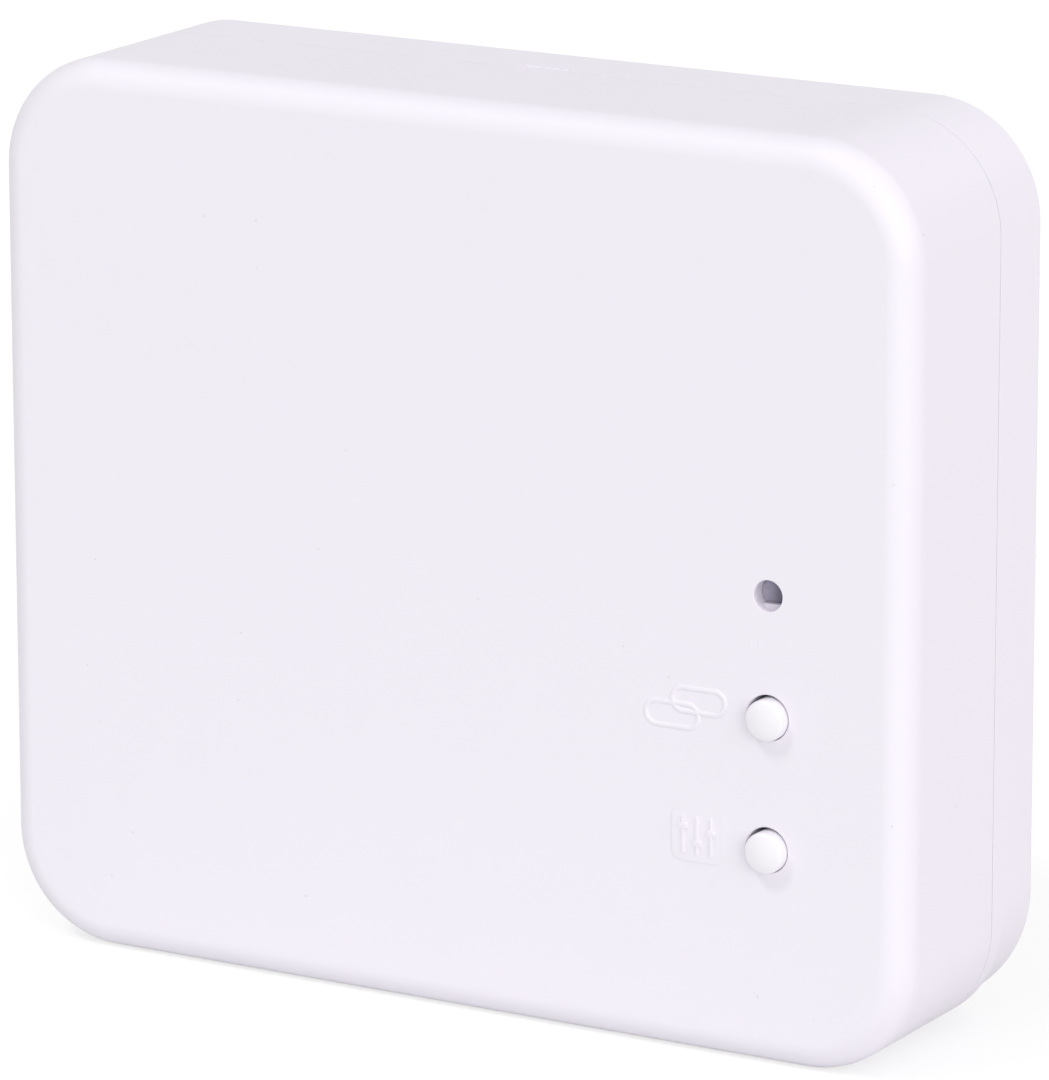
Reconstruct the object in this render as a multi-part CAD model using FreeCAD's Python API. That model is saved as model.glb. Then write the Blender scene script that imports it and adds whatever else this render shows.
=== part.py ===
"""Receiver box of a wireless heating thermostat, for a wall.

A white moulded case of two shells, a deep front cover snapped onto a shallow rear base, holds a
mains powered circuit board with a relay and a radio. On the front are a status light and two small
push-buttons, which press on switches on the board.

Millimetres. X is to the right and Z is up. The wall face is the plane Y = 0, the front looks along
-Y, and the origin is the centre of the wall face. Heights are counted from the wall towards the
front, so a height h lies at Y = -h.
"""
import FreeCAD, Part
import os
from math import cos, radians, sin
from FreeCAD import Vector

# Case, outer form
case_width = 100.0
case_height = 89.0
corner_radius = 11.2
front_fillet = 2.8
inner_chamfer = 1.5
wall = 2.0
front_wall = 2.0
floor = 2.2
back_chamfer = 0.4

# Seam between cover and base, with the base's tongue inside the cover's rebate
seam_height = 8.4
seam_gap = 0.12
tongue_thickness = 0.9
tongue_height = 2.2
tongue_clearance = 0.1
lip_height = 2.0
heel_radius = 13.0

# Board and what sets the depth of the case: posts, board, the relay and the headroom over it
post_height = 4.4
post_radius = 3.0
board_thickness = 1.6
board_side_gap = 5.0
board_top_gap = 4.2
wiring_depth = 13.0
relay_width = 19.0
relay_height = 15.3
relay_depth = 15.5
headroom = 0.5

# Controls on the front, one above the other at the right, counted up from the lower edge
control_inset = 14.7
manual_rise = 21.2
button_pitch = 12.8
light_pitch = 11.7
light_hole_radius = 1.5
button_radius = 2.0
button_clearance = 0.2
button_reach = 1.5
dome_height = 0.35
dome_chamfer = 0.2
button_flange = 3.2
flange_thickness = 1.0
stem_radius = 1.5
sleeve_wall = 1.4
sleeve_length = 2.6
web_thickness = 1.0
web_setback = 0.6
press_gap = 0.05

# Push switches on the board
switch_side = 6.0
switch_body = 3.4
switch_height = 5.0
plunger_radius = 1.7
plunger_clearance = 0.08
plunger_well = 2.0
press_travel = 0.3
well_spare = 0.2

# Status light and the clear rod that guides its light
lamp_radius = 1.5
lamp_height = 5.3
lamp_foot = 3.8
lamp_foot_height = 1.0
guide_gap = 0.3
guide_radius = 1.8
socket_clearance = 0.05
socket_height = 2.6
nose_clearance = 0.1
nose_setback = 1.6
nose_flat = 0.75

# Snap hooks of the base and the catches of the cover
hook_inset = 25.0
hook_width = 8.0
hook_thickness = 1.5
hook_clearance = 0.2
catch_reach = 1.0
catch_height = 1.4
catch_lift = 0.6
catch_overhang = 1.0
bump_gap = 0.15
bump_reach = 0.8
bump_flat = 0.5
bump_lead = 1.5

# Release notch for a screwdriver, in the top of the base at the seam
notch_width = 5.8
notch_height = 3.3
notch_depth = 0.6

# Wall fixing: two slots for the screws of a flush wall box
screw_spacing = 60.0
screw_level = 12.0
slot_width = 4.3
slot_length = 8.0
pad_margin = 2.4
pad_height = 1.0
access_margin = 0.6

# Cable openings: one through the back, two knock-outs in the bottom, each with a clamp
cable_width = 38.0
cable_height = 8.5
cable_corner = 2.0
cable_gap = 3.0
knockout_inset = 16.0
knockout_width = 8.0
knockout_height = 5.6
score_width = 0.7
score_depth = 1.3
clamp_pitch = 13.0
clamp_length = 18.0
clamp_width = 5.0
clamp_thickness = 3.0
clamp_arch = 1.2
clamp_post_height = 6.0
clamp_drop = 8.0

# Screws that hold the board and the clamps
screw_radius = 1.1
screw_hole = 1.25
head_radius = 2.5
head_height = 1.6
screw_length = 5.0
clamp_screw_length = 7.5
post_inset = 3.0
post_drop = 4.8
post_rise = 4.0
inner_post_inset = 16.0

# Gussets and ribs of the two shells
gusset_thickness = 1.2
gusset_reach = 3.2
gusset_height = 5.0
gusset_rows = 3
gusset_pitch = 22.0
post_web_height = 3.2
support_thickness = 1.4
support_length = 12.0
support_inset = 5.5

# Screw terminals along the lower edge of the board
pole_pitch = 7.62
pole_end = 1.4
terminal_depth = 11.0
terminal_height = 14.0
terminal_edge = 1.0
terminal_chamfer = 2.4
mains_poles = 2
relay_poles = 3
mains_inset = 17.0
relay_terminal_x = 4.0
wire_side = 5.6
wire_depth = 8.6
wire_floor = 2.0
cage_clearance = 0.1
cage_length = 7.0
cage_wall = 0.8
cage_setback = 1.0
wire_screw_radius = 1.5
wire_screw_length = 5.0
wire_screw_reach = 1.2
screw_well_radius = 1.9
isolation_width = 1.5
isolation_length = 12.0
isolation_gap = 2.2

# Other electronics, each with its width, its height over the board and its depth along Z
module_width = 34.0
module_height = 15.0
module_depth = 20.2
module_x = -6.5
module_gap = 0.8
module_chamfer = 1.0
relay_x = 6.0
relay_gap = 1.5
plinth_height = 1.4
plinth_margin = 0.2
cap_chamfer = 0.6
fuse_width = 8.4
fuse_height = 7.6
fuse_depth = 4.2
fuse_inset = 9.5
fuse_chamfer = 1.0
suppressor_rise = 20.5
varistor_radius = 6.0
varistor_thickness = 4.5
varistor_inset = 19.5
lead_strip = 0.7
lead_height = 1.2
varistor_pitch = 5.0
film_width = 6.0
film_height = 12.0
film_depth = 13.0
film_inset = 28.0
film_chamfer = 0.6
can_radius = 4.0
can_height = 12.0
can_inset = 10.0
can_drop = 6.5
can_pitch = 9.2
radio_width = 20.0
radio_height = 0.8
radio_depth = 15.5
radio_inset = 16.5
shield_width = 12.0
shield_height = 2.2
shield_depth = 13.0
shield_shift = 3.0
shield_chamfer = 0.5
chip_width = 4.0
chip_height = 1.4
chip_depth = 7.0
chip_x = 17.0
chip_z = 8.0
chip_leads = 8
chip_chamfer = 0.2
lead_length = 1.0
lead_width = 0.35
lead_pitch = 0.8
leg_spacing = 2.25
regulator_width = 6.5
regulator_height = 1.6
regulator_depth = 3.5
regulator_x = 5.0
regulator_z = 8.5
tab_width = 3.0
header_poles = 4
header_pitch = 2.54
header_height = 2.5
header_inset = 3.5
header_drop = 16.3
header_pin = 0.64
header_pin_height = 8.6
small_part_width = 2.0
small_part_height = 0.6
small_part_depth = 1.25
small_part_columns = 2
small_part_rows = 4
small_part_pitch = 3.6
small_part_x = 20.2
small_part_z = -14.0

# Sides of a small round detail inside the case, such as a screw, which keeps the repeats light
few_sides = 12

# Places nearer than this are the same
tiny = 1e-6

# Sizes, heights and places that follow from the values above
relay_size = Vector(relay_width, relay_height, relay_depth)
module_size = Vector(module_width, module_height, module_depth)
fuse_size = Vector(fuse_width, fuse_height, fuse_depth)
film_size = Vector(film_width, film_height, film_depth)
radio_size = Vector(radio_width, radio_height, radio_depth)
shield_size = Vector(shield_width, shield_height, shield_depth)
chip_size = Vector(chip_width, chip_height, chip_depth)
regulator_size = Vector(regulator_width, regulator_height, regulator_depth)
small_part_size = Vector(small_part_width, small_part_height, small_part_depth)
board_back = floor + post_height
board_face = board_back + board_thickness
inner_face = board_face + relay_size.y + headroom
case_depth = inner_face + front_wall
shoulder = seam_height - seam_gap
tongue_top = shoulder + tongue_height
rim = wall - tongue_thickness - tongue_clearance
inner_x = case_width / 2 - wall
inner_z = case_height / 2 - wall
board_right = inner_x - board_side_gap
board_left = -board_right
board_top = inner_z - board_top_gap
board_bottom = wiring_depth - inner_z
control_x = case_width / 2 - control_inset
manual_level = manual_rise - case_height / 2
pairing_level = manual_level + button_pitch
light_level = pairing_level + light_pitch
hook_x = case_width / 2 - hook_inset
knockout_x = case_width / 2 - knockout_inset
plunger_top = board_face + switch_height
plunger_bottom = board_face + plunger_well
button_hole = button_radius + button_clearance
sleeve_end = inner_face - sleeve_length
catch_low = tongue_top + catch_lift
bump_low = catch_low + catch_height + bump_gap
hook_top = bump_low + bump_flat + bump_lead
hook_outer = inner_z - catch_reach - hook_clearance
cable_z = -(inner_z - cable_gap - cable_height / 2)
clamp_z = clamp_drop - inner_z
clamp_post_top = floor + clamp_post_height
terminal_low = board_bottom + terminal_edge
terminal_top = terminal_low + terminal_depth
suppressor_z = board_bottom + suppressor_rise
mains_x = board_left + mains_inset
post_places = [
    (board_left + post_inset, board_top - post_drop),
    (board_right - post_inset, board_top - post_drop),
    (board_left + post_inset, board_bottom + post_rise),
    (board_right - inner_post_inset, board_bottom + post_rise),
]
clamp_posts = [(side * knockout_x + end * clamp_pitch / 2, clamp_z) for side in (-1, 1) for end in (-1, 1)]


def block(x0, x1, z0, z1, low, high):
    """Box between two X, two Z and two heights."""
    return Part.makeBox(x1 - x0, high - low, z1 - z0, Vector(x0, -high, z0))


def centred(x, z, size, low):
    """Box of a given size, centred on (x, z) and standing at a height."""
    return block(x - size.x / 2, x + size.x / 2, z - size.z / 2, z + size.z / 2, low, low + size.y)


def rod(x, z, radius, low, high):
    """Round rod that points at the front."""
    return Part.makeCylinder(radius, high - low, Vector(x, -low, z), Vector(0, -1, 0))


def around(x, z, radius, turn, low):
    """Point at an angle on a circle seen from the front, at a height."""
    return Vector(x + radius * cos(radians(turn)), -low, z + radius * sin(radians(turn)))


def few_sided(x, z, radius, low, high):
    """Rod or hole with few sides, for a small round detail inside the case."""
    points = [around(x, z, radius, 360 * side / few_sides, low) for side in range(few_sides)]
    return Part.Face(Part.makePolygon(points + points[:1])).extrude(Vector(0, low - high, 0))


def rounded(width, height, radius, low, high, lower_radius=None, x=0.0, z=0.0):
    """Rounded rectangle seen from the front, extruded between two heights."""
    lower = radius if lower_radius is None else lower_radius
    corners = [(1, 1, radius), (-1, 1, radius), (-1, -1, lower), (1, -1, lower)]
    arcs = []
    for quarter, (side_x, side_z, corner) in enumerate(corners):
        middle_x, middle_z = x + side_x * (width / 2 - corner), z + side_z * (height / 2 - corner)
        arcs.append([around(middle_x, middle_z, corner, 90 * quarter + turn, low) for turn in (0, 45, 90)])
    edges = []
    for arc, following in zip(arcs, arcs[1:] + arcs[:1]):
        edges.append(Part.Arc(*arc).toShape())
        if arc[2].distanceToPoint(following[0]) > tiny:
            edges.append(Part.makeLine(arc[2], following[0]))
    return Part.Face(Part.Wire(edges)).extrude(Vector(0, low - high, 0))


def slot(x, z, length, width, low, high):
    """Slot with round ends, lying along X."""
    return rounded(length, width, width / 2, low, high, x=x, z=z)


def prism_along_x(x0, x1, profile):
    """Solid along X, from points of Z and height."""
    points = [Vector(x0, -height, z) for z, height in profile]
    return Part.Face(Part.makePolygon(points + points[:1])).extrude(Vector(x1 - x0, 0, 0))


def prism_along_z(z0, z1, profile):
    """Solid along Z, from points of X and height."""
    points = [Vector(x, -height, z0) for x, height in profile]
    return Part.Face(Part.makePolygon(points + points[:1])).extrude(Vector(0, 0, z1 - z0))


def edges_at(solid, height):
    """Edges that lie wholly at one height."""
    return [edge for edge in solid.Edges
            if all(abs(vertex.Y + height) < tiny for vertex in edge.Vertexes)]


def edges_up(solid, low, high):
    """Straight edges that run from one height to another."""
    found = []
    for edge in solid.Edges:
        heights = sorted(-vertex.Y for vertex in edge.Vertexes)
        if len(heights) == 2 and abs(heights[0] - low) < tiny and abs(heights[1] - high) < tiny:
            found.append(edge)
    return found


def join(first, *others):
    """One solid from several that meet."""
    return first.fuse(list(others)).removeSplitter()


def front_cover():
    """Deep shell with a soft front edge, sleeves for the buttons, catches for the hooks and gussets."""
    outer = rounded(case_width, case_height, corner_radius, seam_height, case_depth)
    outer = outer.makeFillet(front_fillet, edges_at(outer, case_depth))
    hollow = rounded(2 * inner_x, 2 * inner_z, corner_radius - wall, seam_height, inner_face)
    hollow = hollow.makeChamfer(inner_chamfer, edges_at(hollow, inner_face))
    rebate_width, rebate_height = case_width - 2 * rim, case_height - 2 * rim
    rebate = rounded(rebate_width, rebate_height, corner_radius - rim, seam_height, tongue_top)
    shell = outer.cut([hollow, rebate])
    sink = front_wall / 2
    added = []
    for level in (pairing_level, manual_level):
        added.append(rod(control_x, level, button_hole + sleeve_wall, sleeve_end, inner_face + sink))
    socket = guide_radius + socket_clearance
    socket_low = inner_face - socket_height
    added.append(rod(control_x, light_level, socket + sleeve_wall, socket_low, inner_face + sink))
    half_web = web_thickness / 2
    added.append(block(control_x - half_web, control_x + half_web, manual_level, light_level,
                       socket_low + web_setback, inner_face + sink))
    for side_x in (-1, 1):
        for side_z in (-1, 1):
            added.append(catch(side_x * hook_x, side_z))
    added.extend(gussets())
    shell = join(shell, *added)
    cuts = [rod(control_x, light_level, light_hole_radius, inner_face, case_depth),
            rod(control_x, light_level, socket, socket_low, inner_face)]
    for level in (pairing_level, manual_level):
        cuts.append(rod(control_x, level, button_hole, sleeve_end, case_depth))
    return shell.cut(cuts)


def catch(x, side):
    """Ledge on the inside of the cover's long wall, with a sloped front, that a hook holds."""
    half = hook_width / 2 + catch_overhang
    root = side * (inner_z + wall / 2)
    tip = side * (inner_z - catch_reach)
    foot = side * inner_z
    low, high = catch_low, catch_low + catch_height
    return prism_along_x(x - half, x + half, [(root, low), (foot, low), (tip, low + catch_reach / 2),
                                              (tip, high), (root, high)])


def gussets():
    """Corner webs between the cover's front and its side walls."""
    webs = []
    half = gusset_thickness / 2
    sink = wall / 2
    reach, tall = gusset_reach, gusset_height
    for row in range(gusset_rows):
        place = (row - (gusset_rows - 1) / 2) * gusset_pitch
        for side in (-1, 1):
            x_wall, z_wall = side * (inner_x + sink), side * (inner_z + sink)
            x_tip, z_tip = side * (inner_x - reach), side * (inner_z - reach)
            x_face, z_face = side * inner_x, side * inner_z
            deep = inner_face + sink
            webs.append(prism_along_z(place - half, place + half, [
                (x_wall, inner_face - tall), (x_face, inner_face - tall), (x_tip, inner_face),
                (x_tip, deep), (x_wall, deep)]))
            webs.append(prism_along_x(place - half, place + half, [
                (z_wall, inner_face - tall), (z_face, inner_face - tall), (z_tip, inner_face),
                (z_tip, deep), (z_wall, deep)]))
    return webs


def rear_base():
    """Shallow tray with a tongue, snap hooks, posts, wall slots, cable openings and a release notch."""
    lip_low = shoulder - lip_height
    heel = rounded(case_width, case_height, corner_radius, 0, lip_low, heel_radius)
    heel = heel.makeChamfer(back_chamfer, edges_at(heel, 0))
    lip = rounded(case_width, case_height, corner_radius, lip_low, shoulder)
    inset = rim + tongue_clearance
    tongue_width, tongue_depth = case_width - 2 * inset, case_height - 2 * inset
    tongue = rounded(tongue_width, tongue_depth, corner_radius - inset, lip_low, tongue_top)
    hollow = rounded(2 * inner_x, 2 * inner_z, corner_radius - wall, floor, tongue_top, heel_radius - wall)
    tray = join(heel, lip, tongue).cut(hollow)
    sink = floor / 2
    added = [rod(x, z, post_radius, sink, board_back) for x, z in post_places]
    clamp_post = Vector(2 * post_radius, clamp_post_top - sink, clamp_width)
    added += [centred(x, z, clamp_post, sink) for x, z in clamp_posts]
    added += post_webs()
    pad_top = floor + pad_height
    pad = Vector(slot_length + 2 * pad_margin, pad_top - sink, slot_width + 2 * pad_margin)
    for side in (-1, 1):
        added.append(centred(side * screw_spacing / 2, screw_level, pad, sink))
        for side_z in (-1, 1):
            added.append(hook(side * hook_x, side_z))
    support = Vector(support_length, board_back - sink, support_thickness)
    for x in (mains_x, relay_terminal_x):
        added.append(centred(x, board_bottom + support_inset, support, sink))
    tray = join(tray, *added)
    cuts = [few_sided(x, z, screw_radius, board_face - screw_length, board_back) for x, z in post_places]
    pilot_low = clamp_post_top + clamp_thickness - clamp_screw_length
    cuts += [few_sided(x, z, screw_radius, pilot_low, clamp_post_top) for x, z in clamp_posts]
    cuts.append(rounded(cable_width, cable_height, cable_corner, 0, floor, z=cable_z))
    cuts.append(block(-notch_width / 2, notch_width / 2, case_height / 2 - notch_depth, case_height / 2,
                      shoulder - notch_height, shoulder))
    for side in (-1, 1):
        cuts.append(slot(side * screw_spacing / 2, screw_level, slot_length, slot_width, 0, pad_top))
        cuts += score_lines(side * knockout_x)
        for side_z in (-1, 1):
            cuts.append(hook_tool_window(side * hook_x, side_z))
    return tray.cut(cuts)


def hook(x, side):
    """Springy arm with a bump that snaps over a catch of the cover."""
    half = hook_width / 2
    outer, inner = side * hook_outer, side * (hook_outer - hook_thickness)
    tip = side * (hook_outer + bump_reach)
    foot, lead_in = floor / 2, hook_top - bump_lead
    return prism_along_x(x - half, x + half, [
        (inner, foot), (outer, foot), (outer, bump_low), (tip, bump_low), (tip, lead_in), (outer, hook_top),
        (inner, hook_top)])


def hook_tool_window(x, side):
    """Window through the floor outside a hook, which the mould needs to form the bump."""
    half = hook_width / 2
    near, far = sorted((side * hook_outer, side * (hook_outer + bump_reach)))
    return block(x - half, x + half, near, far, 0, floor)


def post_webs():
    """Webs from the outer board posts to the side walls."""
    webs = []
    half = web_thickness / 2
    for x, z in post_places[:3]:
        wall_x = inner_x if x > 0 else -inner_x
        low, high = sorted((x, wall_x))
        webs.append(block(low, high, z - half, z + half, floor / 2, floor + post_web_height))
    return webs


def score_lines(x):
    """Grooves round a knock-out in the bottom wall: two legs and a bar, open at the seam."""
    half = knockout_width / 2
    bottom = -case_height / 2
    low = shoulder - knockout_height
    legs = [block(x + side * half - score_width / 2, x + side * half + score_width / 2, bottom,
                  bottom + score_depth, low, shoulder) for side in (-1, 1)]
    bar = block(x - half, x + half, bottom, bottom + score_depth, low, low + score_width)
    return legs + [bar]


def push_button(level):
    """Button with a low dome, a flange behind the cover's sleeve and a stem down to its switch."""
    tip = case_depth + button_reach
    dome_edge = tip - dome_height
    flange_top = sleeve_end - press_gap
    ball_radius = (button_radius ** 2 + dome_height ** 2) / (2 * dome_height)
    ball = Part.makeSphere(ball_radius, Vector(control_x, ball_radius - tip, level), Vector(0, -1, 0))
    shaft = rod(control_x, level, button_radius, flange_top, dome_edge)
    dome = ball.common(rod(control_x, level, button_radius, dome_edge, 2 * tip))
    head = join(shaft, dome)
    head = head.makeChamfer(dome_chamfer, edges_at(head, dome_edge))
    flange = rod(control_x, level, button_flange, flange_top - flange_thickness, flange_top)
    stem = rod(control_x, level, stem_radius, plunger_top + press_gap, flange_top)
    return join(head, flange, stem)


def switch_housing(level):
    """Body of a push switch: a square block with a round well for its plunger."""
    size = Vector(switch_side, switch_body, switch_side)
    body = centred(control_x, level, size, board_face)
    well = few_sided(control_x, level, plunger_radius + plunger_clearance,
                     plunger_bottom - press_travel - well_spare, plunger_top)
    return body.cut(well)


def switch_plunger(level):
    """Round plunger of a push switch."""
    return few_sided(control_x, level, plunger_radius, plunger_bottom, plunger_top)


def status_lamp():
    """Small round lamp with a square foot on the board."""
    foot = centred(control_x, light_level, Vector(lamp_foot, lamp_foot_height, lamp_foot), board_face)
    return join(foot, rod(control_x, light_level, lamp_radius, board_face, board_face + lamp_height))


def light_guide():
    """Clear rod in the cover's socket, from over the lamp, with a nose that is flat below, in the hole."""
    body = rod(control_x, light_level, guide_radius, board_face + lamp_height + guide_gap, inner_face)
    radius = light_hole_radius - nose_clearance
    nose = rod(control_x, light_level, radius, inner_face, case_depth - nose_setback)
    below = block(control_x - radius, control_x + radius, light_level - radius, light_level - nose_flat,
                  inner_face, case_depth)
    return join(body, nose.cut(below))


def circuit_board():
    """Board with screw holes, access holes over the wall slots and a milled isolation slot."""
    board = block(board_left, board_right, board_bottom, board_top, board_back, board_face)
    cuts = [few_sided(x, z, screw_hole, board_back, board_face) for x, z in post_places]
    margin = pad_margin + access_margin
    access = Vector(slot_length + 2 * margin, board_thickness, slot_width + 2 * margin)
    for side in (-1, 1):
        cuts.append(centred(side * screw_spacing / 2, screw_level, access, board_back))
    slot_x = relay_terminal_x - terminal_length(relay_poles) / 2 - isolation_gap
    slot_z = board_bottom + 2 * isolation_gap + isolation_length / 2
    milled = Vector(isolation_width, board_thickness, isolation_length)
    cuts.append(centred(slot_x, slot_z, milled, board_back))
    return board.cut(cuts)


def pan_screw(x, z, seat, length):
    """Screw whose head rests on a seat and whose shank fills its pilot hole."""
    return join(few_sided(x, z, screw_radius, seat - length, seat),
                few_sided(x, z, head_radius, seat, seat + head_height))


def terminal_length(poles):
    """Length of a terminal block along the board's edge."""
    return poles * pole_pitch + pole_end


def pole_places(x, poles):
    """X of each pole of a terminal block."""
    return [x + (pole - (poles - 1) / 2) * pole_pitch for pole in range(poles)]


def terminal_block(x, poles):
    """Plastic block with a wire pocket and a screw well for each pole."""
    half = terminal_length(poles) / 2
    top = board_face + terminal_height
    profile = [(terminal_low, board_face), (terminal_top, board_face), (terminal_top, top),
               (terminal_low + terminal_chamfer, top), (terminal_low, top - terminal_chamfer)]
    body = prism_along_x(x - half, x + half, profile)
    cuts = []
    pocket_low = board_face + wire_floor
    pocket = Vector(wire_side, wire_side, wire_depth)
    for pole_x in pole_places(x, poles):
        cuts.append(centred(pole_x, terminal_low + wire_depth / 2, pocket, pocket_low))
        cuts.append(few_sided(pole_x, screw_row(), screw_well_radius, pocket_low + wire_side, top))
    return body.cut(cuts)


def screw_row():
    """Z of the row of terminal screws."""
    return terminal_low + cage_setback + cage_length / 2


def wire_cage(x):
    """Metal cage that grips a wire, resting on the floor of its pocket."""
    side = wire_side - 2 * cage_clearance
    hollow = side - 2 * cage_wall
    low = board_face + wire_floor
    outer = centred(x, screw_row(), Vector(side, side, cage_length), low)
    bore = centred(x, screw_row(), Vector(hollow, hollow, cage_length), low + cage_wall)
    screw_way = few_sided(x, screw_row(), wire_screw_radius, low + side - cage_wall, low + side)
    return outer.cut([bore, screw_way])


def cage_screw(x):
    """Headless screw that is threaded through the top of a cage, onto the wire."""
    cage_top = board_face + wire_floor + wire_side - 2 * cage_clearance
    low = cage_top - cage_wall - wire_screw_reach
    return few_sided(x, screw_row(), wire_screw_radius, low, low + wire_screw_length)


def cable_clamp(side):
    """Bar with an arched underside that grips a cable between two posts."""
    x, high = side * knockout_x, clamp_post_top + clamp_thickness
    bar = centred(x, clamp_z, Vector(clamp_length, clamp_thickness, clamp_width), clamp_post_top)
    grip = clamp_pitch / 2 - post_radius
    middle = Vector(x, grip - clamp_arch - clamp_post_top, clamp_z - clamp_width / 2)
    arch = Part.makeCylinder(grip, clamp_width, middle)
    ends = [x + end * clamp_pitch / 2 for end in (-1, 1)]
    holes = [few_sided(end_x, clamp_z, screw_hole, clamp_post_top, high) for end_x in ends]
    return bar.cut([arch] + holes)


def bevelled(x, z, size, low, bevel):
    """Box with bevelled upright edges and a bevelled top."""
    body = centred(x, z, size, low)
    body = body.makeChamfer(bevel, edges_up(body, low, low + size.y))
    return body.makeChamfer(bevel / 2, edges_at(body, low + size.y))


def power_module():
    """Sealed mains converter in a potted box."""
    z = board_top - module_gap - module_size.z / 2
    return bevelled(module_x, z, module_size, board_face, module_chamfer)


def relay():
    """Relay with a plinth and a moulded cap."""
    z = terminal_top + relay_gap + relay_size.z / 2
    plinth = centred(relay_x, z, Vector(relay_size.x, plinth_height, relay_size.z), board_face)
    margin = 2 * plinth_margin
    cap_size = Vector(relay_size.x - margin, relay_size.y, relay_size.z - margin)
    return join(plinth, bevelled(relay_x, z, cap_size, board_face, cap_chamfer))


def fuse():
    """Radial fuse in a small box."""
    return bevelled(board_left + fuse_inset, suppressor_z, fuse_size, board_face, fuse_chamfer)


def varistor():
    """Disc varistor that stands on two leads."""
    x = board_left + varistor_inset
    middle = board_face + lead_height + varistor_radius
    disc = Part.makeCylinder(varistor_radius, varistor_thickness,
                             Vector(x - varistor_thickness / 2, -middle, suppressor_z), Vector(1, 0, 0))
    size = Vector(lead_strip, middle - board_face, lead_strip)
    leads = [centred(x, suppressor_z + side * varistor_pitch / 2, size, board_face) for side in (-1, 1)]
    return join(disc, *leads)


def suppression_capacitor():
    """Film capacitor in a plastic box."""
    return bevelled(board_left + film_inset, suppressor_z, film_size, board_face, film_chamfer)


def smoothing_can(index):
    """Electrolytic capacitor standing on the board."""
    z = board_top - can_drop - index * can_pitch
    return few_sided(board_left + can_inset, z, can_radius, board_face, board_face + can_height)


def radio_place():
    """Centre of the radio module on the board."""
    return board_right - radio_inset, board_top - module_gap - radio_size.z / 2


def radio_module():
    """Small radio board, flat on the main board."""
    x, z = radio_place()
    return centred(x, z, radio_size, board_face)


def radio_shield():
    """Metal can over the radio's chips."""
    x, z = radio_place()
    return bevelled(x + shield_shift, z, shield_size, board_face + radio_size.y, shield_chamfer)


def control_chip():
    """Control chip with a row of leads on each long side."""
    body = centred(chip_x, chip_z, chip_size, board_face)
    body = body.makeChamfer(chip_chamfer, edges_at(body, board_face + chip_size.y))
    lead = Vector(lead_length, lead_width, lead_width)
    reach = (chip_size.x + lead_length) / 2
    rows = [chip_z + (index - (chip_leads - 1) / 2) * lead_pitch for index in range(chip_leads)]
    leads = [centred(chip_x + side * reach, row, lead, board_face) for row in rows for side in (-1, 1)]
    return join(body, *leads)


def regulator():
    """Voltage regulator with a wide tab and three legs."""
    body = centred(regulator_x, regulator_z, regulator_size, board_face)
    body = body.makeChamfer(chip_chamfer, edges_at(body, board_face + regulator_size.y))
    reach = (regulator_size.z + lead_length) / 2
    tab = centred(regulator_x, regulator_z + reach, Vector(tab_width, lead_width, lead_length), board_face)
    leg = Vector(lead_pitch, lead_width, lead_length)
    leg_places = [regulator_x + place * leg_spacing for place in (-1, 0, 1)]
    legs = [centred(leg_x, regulator_z - reach, leg, board_face) for leg_x in leg_places]
    return join(body, tab, *legs)


def header_places():
    """Z of each pin of the service header."""
    middle = board_top - header_drop
    return [middle + (pin - (header_poles - 1) / 2) * header_pitch for pin in range(header_poles)]


def header_body():
    """Plastic strip of the service header, with a hole for each pin."""
    x = board_right - header_inset
    size = Vector(header_pitch, header_height, header_poles * header_pitch)
    strip = centred(x, board_top - header_drop, size, board_face)
    way = Vector(header_pin, header_height, header_pin)
    return strip.cut([centred(x, z, way, board_face) for z in header_places()])


def header_pins():
    """Square pins of the service header."""
    pin = Vector(header_pin, header_pin_height, header_pin)
    return [centred(board_right - header_inset, z, pin, board_face) for z in header_places()]


def small_parts():
    """Resistors and small capacitors in rows beside the relay."""
    columns = [small_part_x + column * small_part_pitch for column in range(small_part_columns)]
    rows = [small_part_z + row * small_part_pitch for row in range(small_part_rows)]
    return [centred(x, z, small_part_size, board_face) for x in columns for z in rows]


def group(solids):
    """Several separate solids in one node."""
    return Part.makeCompound(list(solids))


all_poles = pole_places(mains_x, mains_poles) + pole_places(relay_terminal_x, relay_poles)
subparts = {
    "front_cover": front_cover(),
    "rear_base": rear_base(),
    "pairing_button": push_button(pairing_level),
    "manual_button": push_button(manual_level),
    "light_guide": light_guide(),
    "circuit_board": circuit_board(),
    "board_screws": group(pan_screw(x, z, board_face, screw_length) for x, z in post_places),
    "status_lamp": status_lamp(),
    "pairing_switch": switch_housing(pairing_level),
    "manual_switch": switch_housing(manual_level),
    "pairing_switch_plunger": switch_plunger(pairing_level),
    "manual_switch_plunger": switch_plunger(manual_level),
    "power_module": power_module(),
    "relay": relay(),
    "mains_terminal": terminal_block(mains_x, mains_poles),
    "relay_terminal": terminal_block(relay_terminal_x, relay_poles),
    "terminal_cages": group(wire_cage(x) for x in all_poles),
    "terminal_screws": group(cage_screw(x) for x in all_poles),
    "fuse": fuse(),
    "varistor": varistor(),
    "suppression_capacitor": suppression_capacitor(),
    "smoothing_capacitors": group(smoothing_can(index) for index in range(2)),
    "radio_module": radio_module(),
    "radio_shield": radio_shield(),
    "control_chip": control_chip(),
    "regulator": regulator(),
    "service_header": header_body(),
    "service_pins": group(header_pins()),
    "small_parts": group(small_parts()),
    "left_cable_clamp": cable_clamp(-1),
    "right_cable_clamp": cable_clamp(1),
    "clamp_screws": group(pan_screw(x, z, clamp_post_top + clamp_thickness, clamp_screw_length)
                          for x, z in clamp_posts),
}

os.makedirs("parts", exist_ok=True)
for node, shape in subparts.items():
    shape.exportStep(f"parts/{node}.step")
    print(node, len(shape.Solids), round(shape.Volume, 2), shape.isValid())
print("case", case_width, case_height, round(case_depth, 2))
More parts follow.
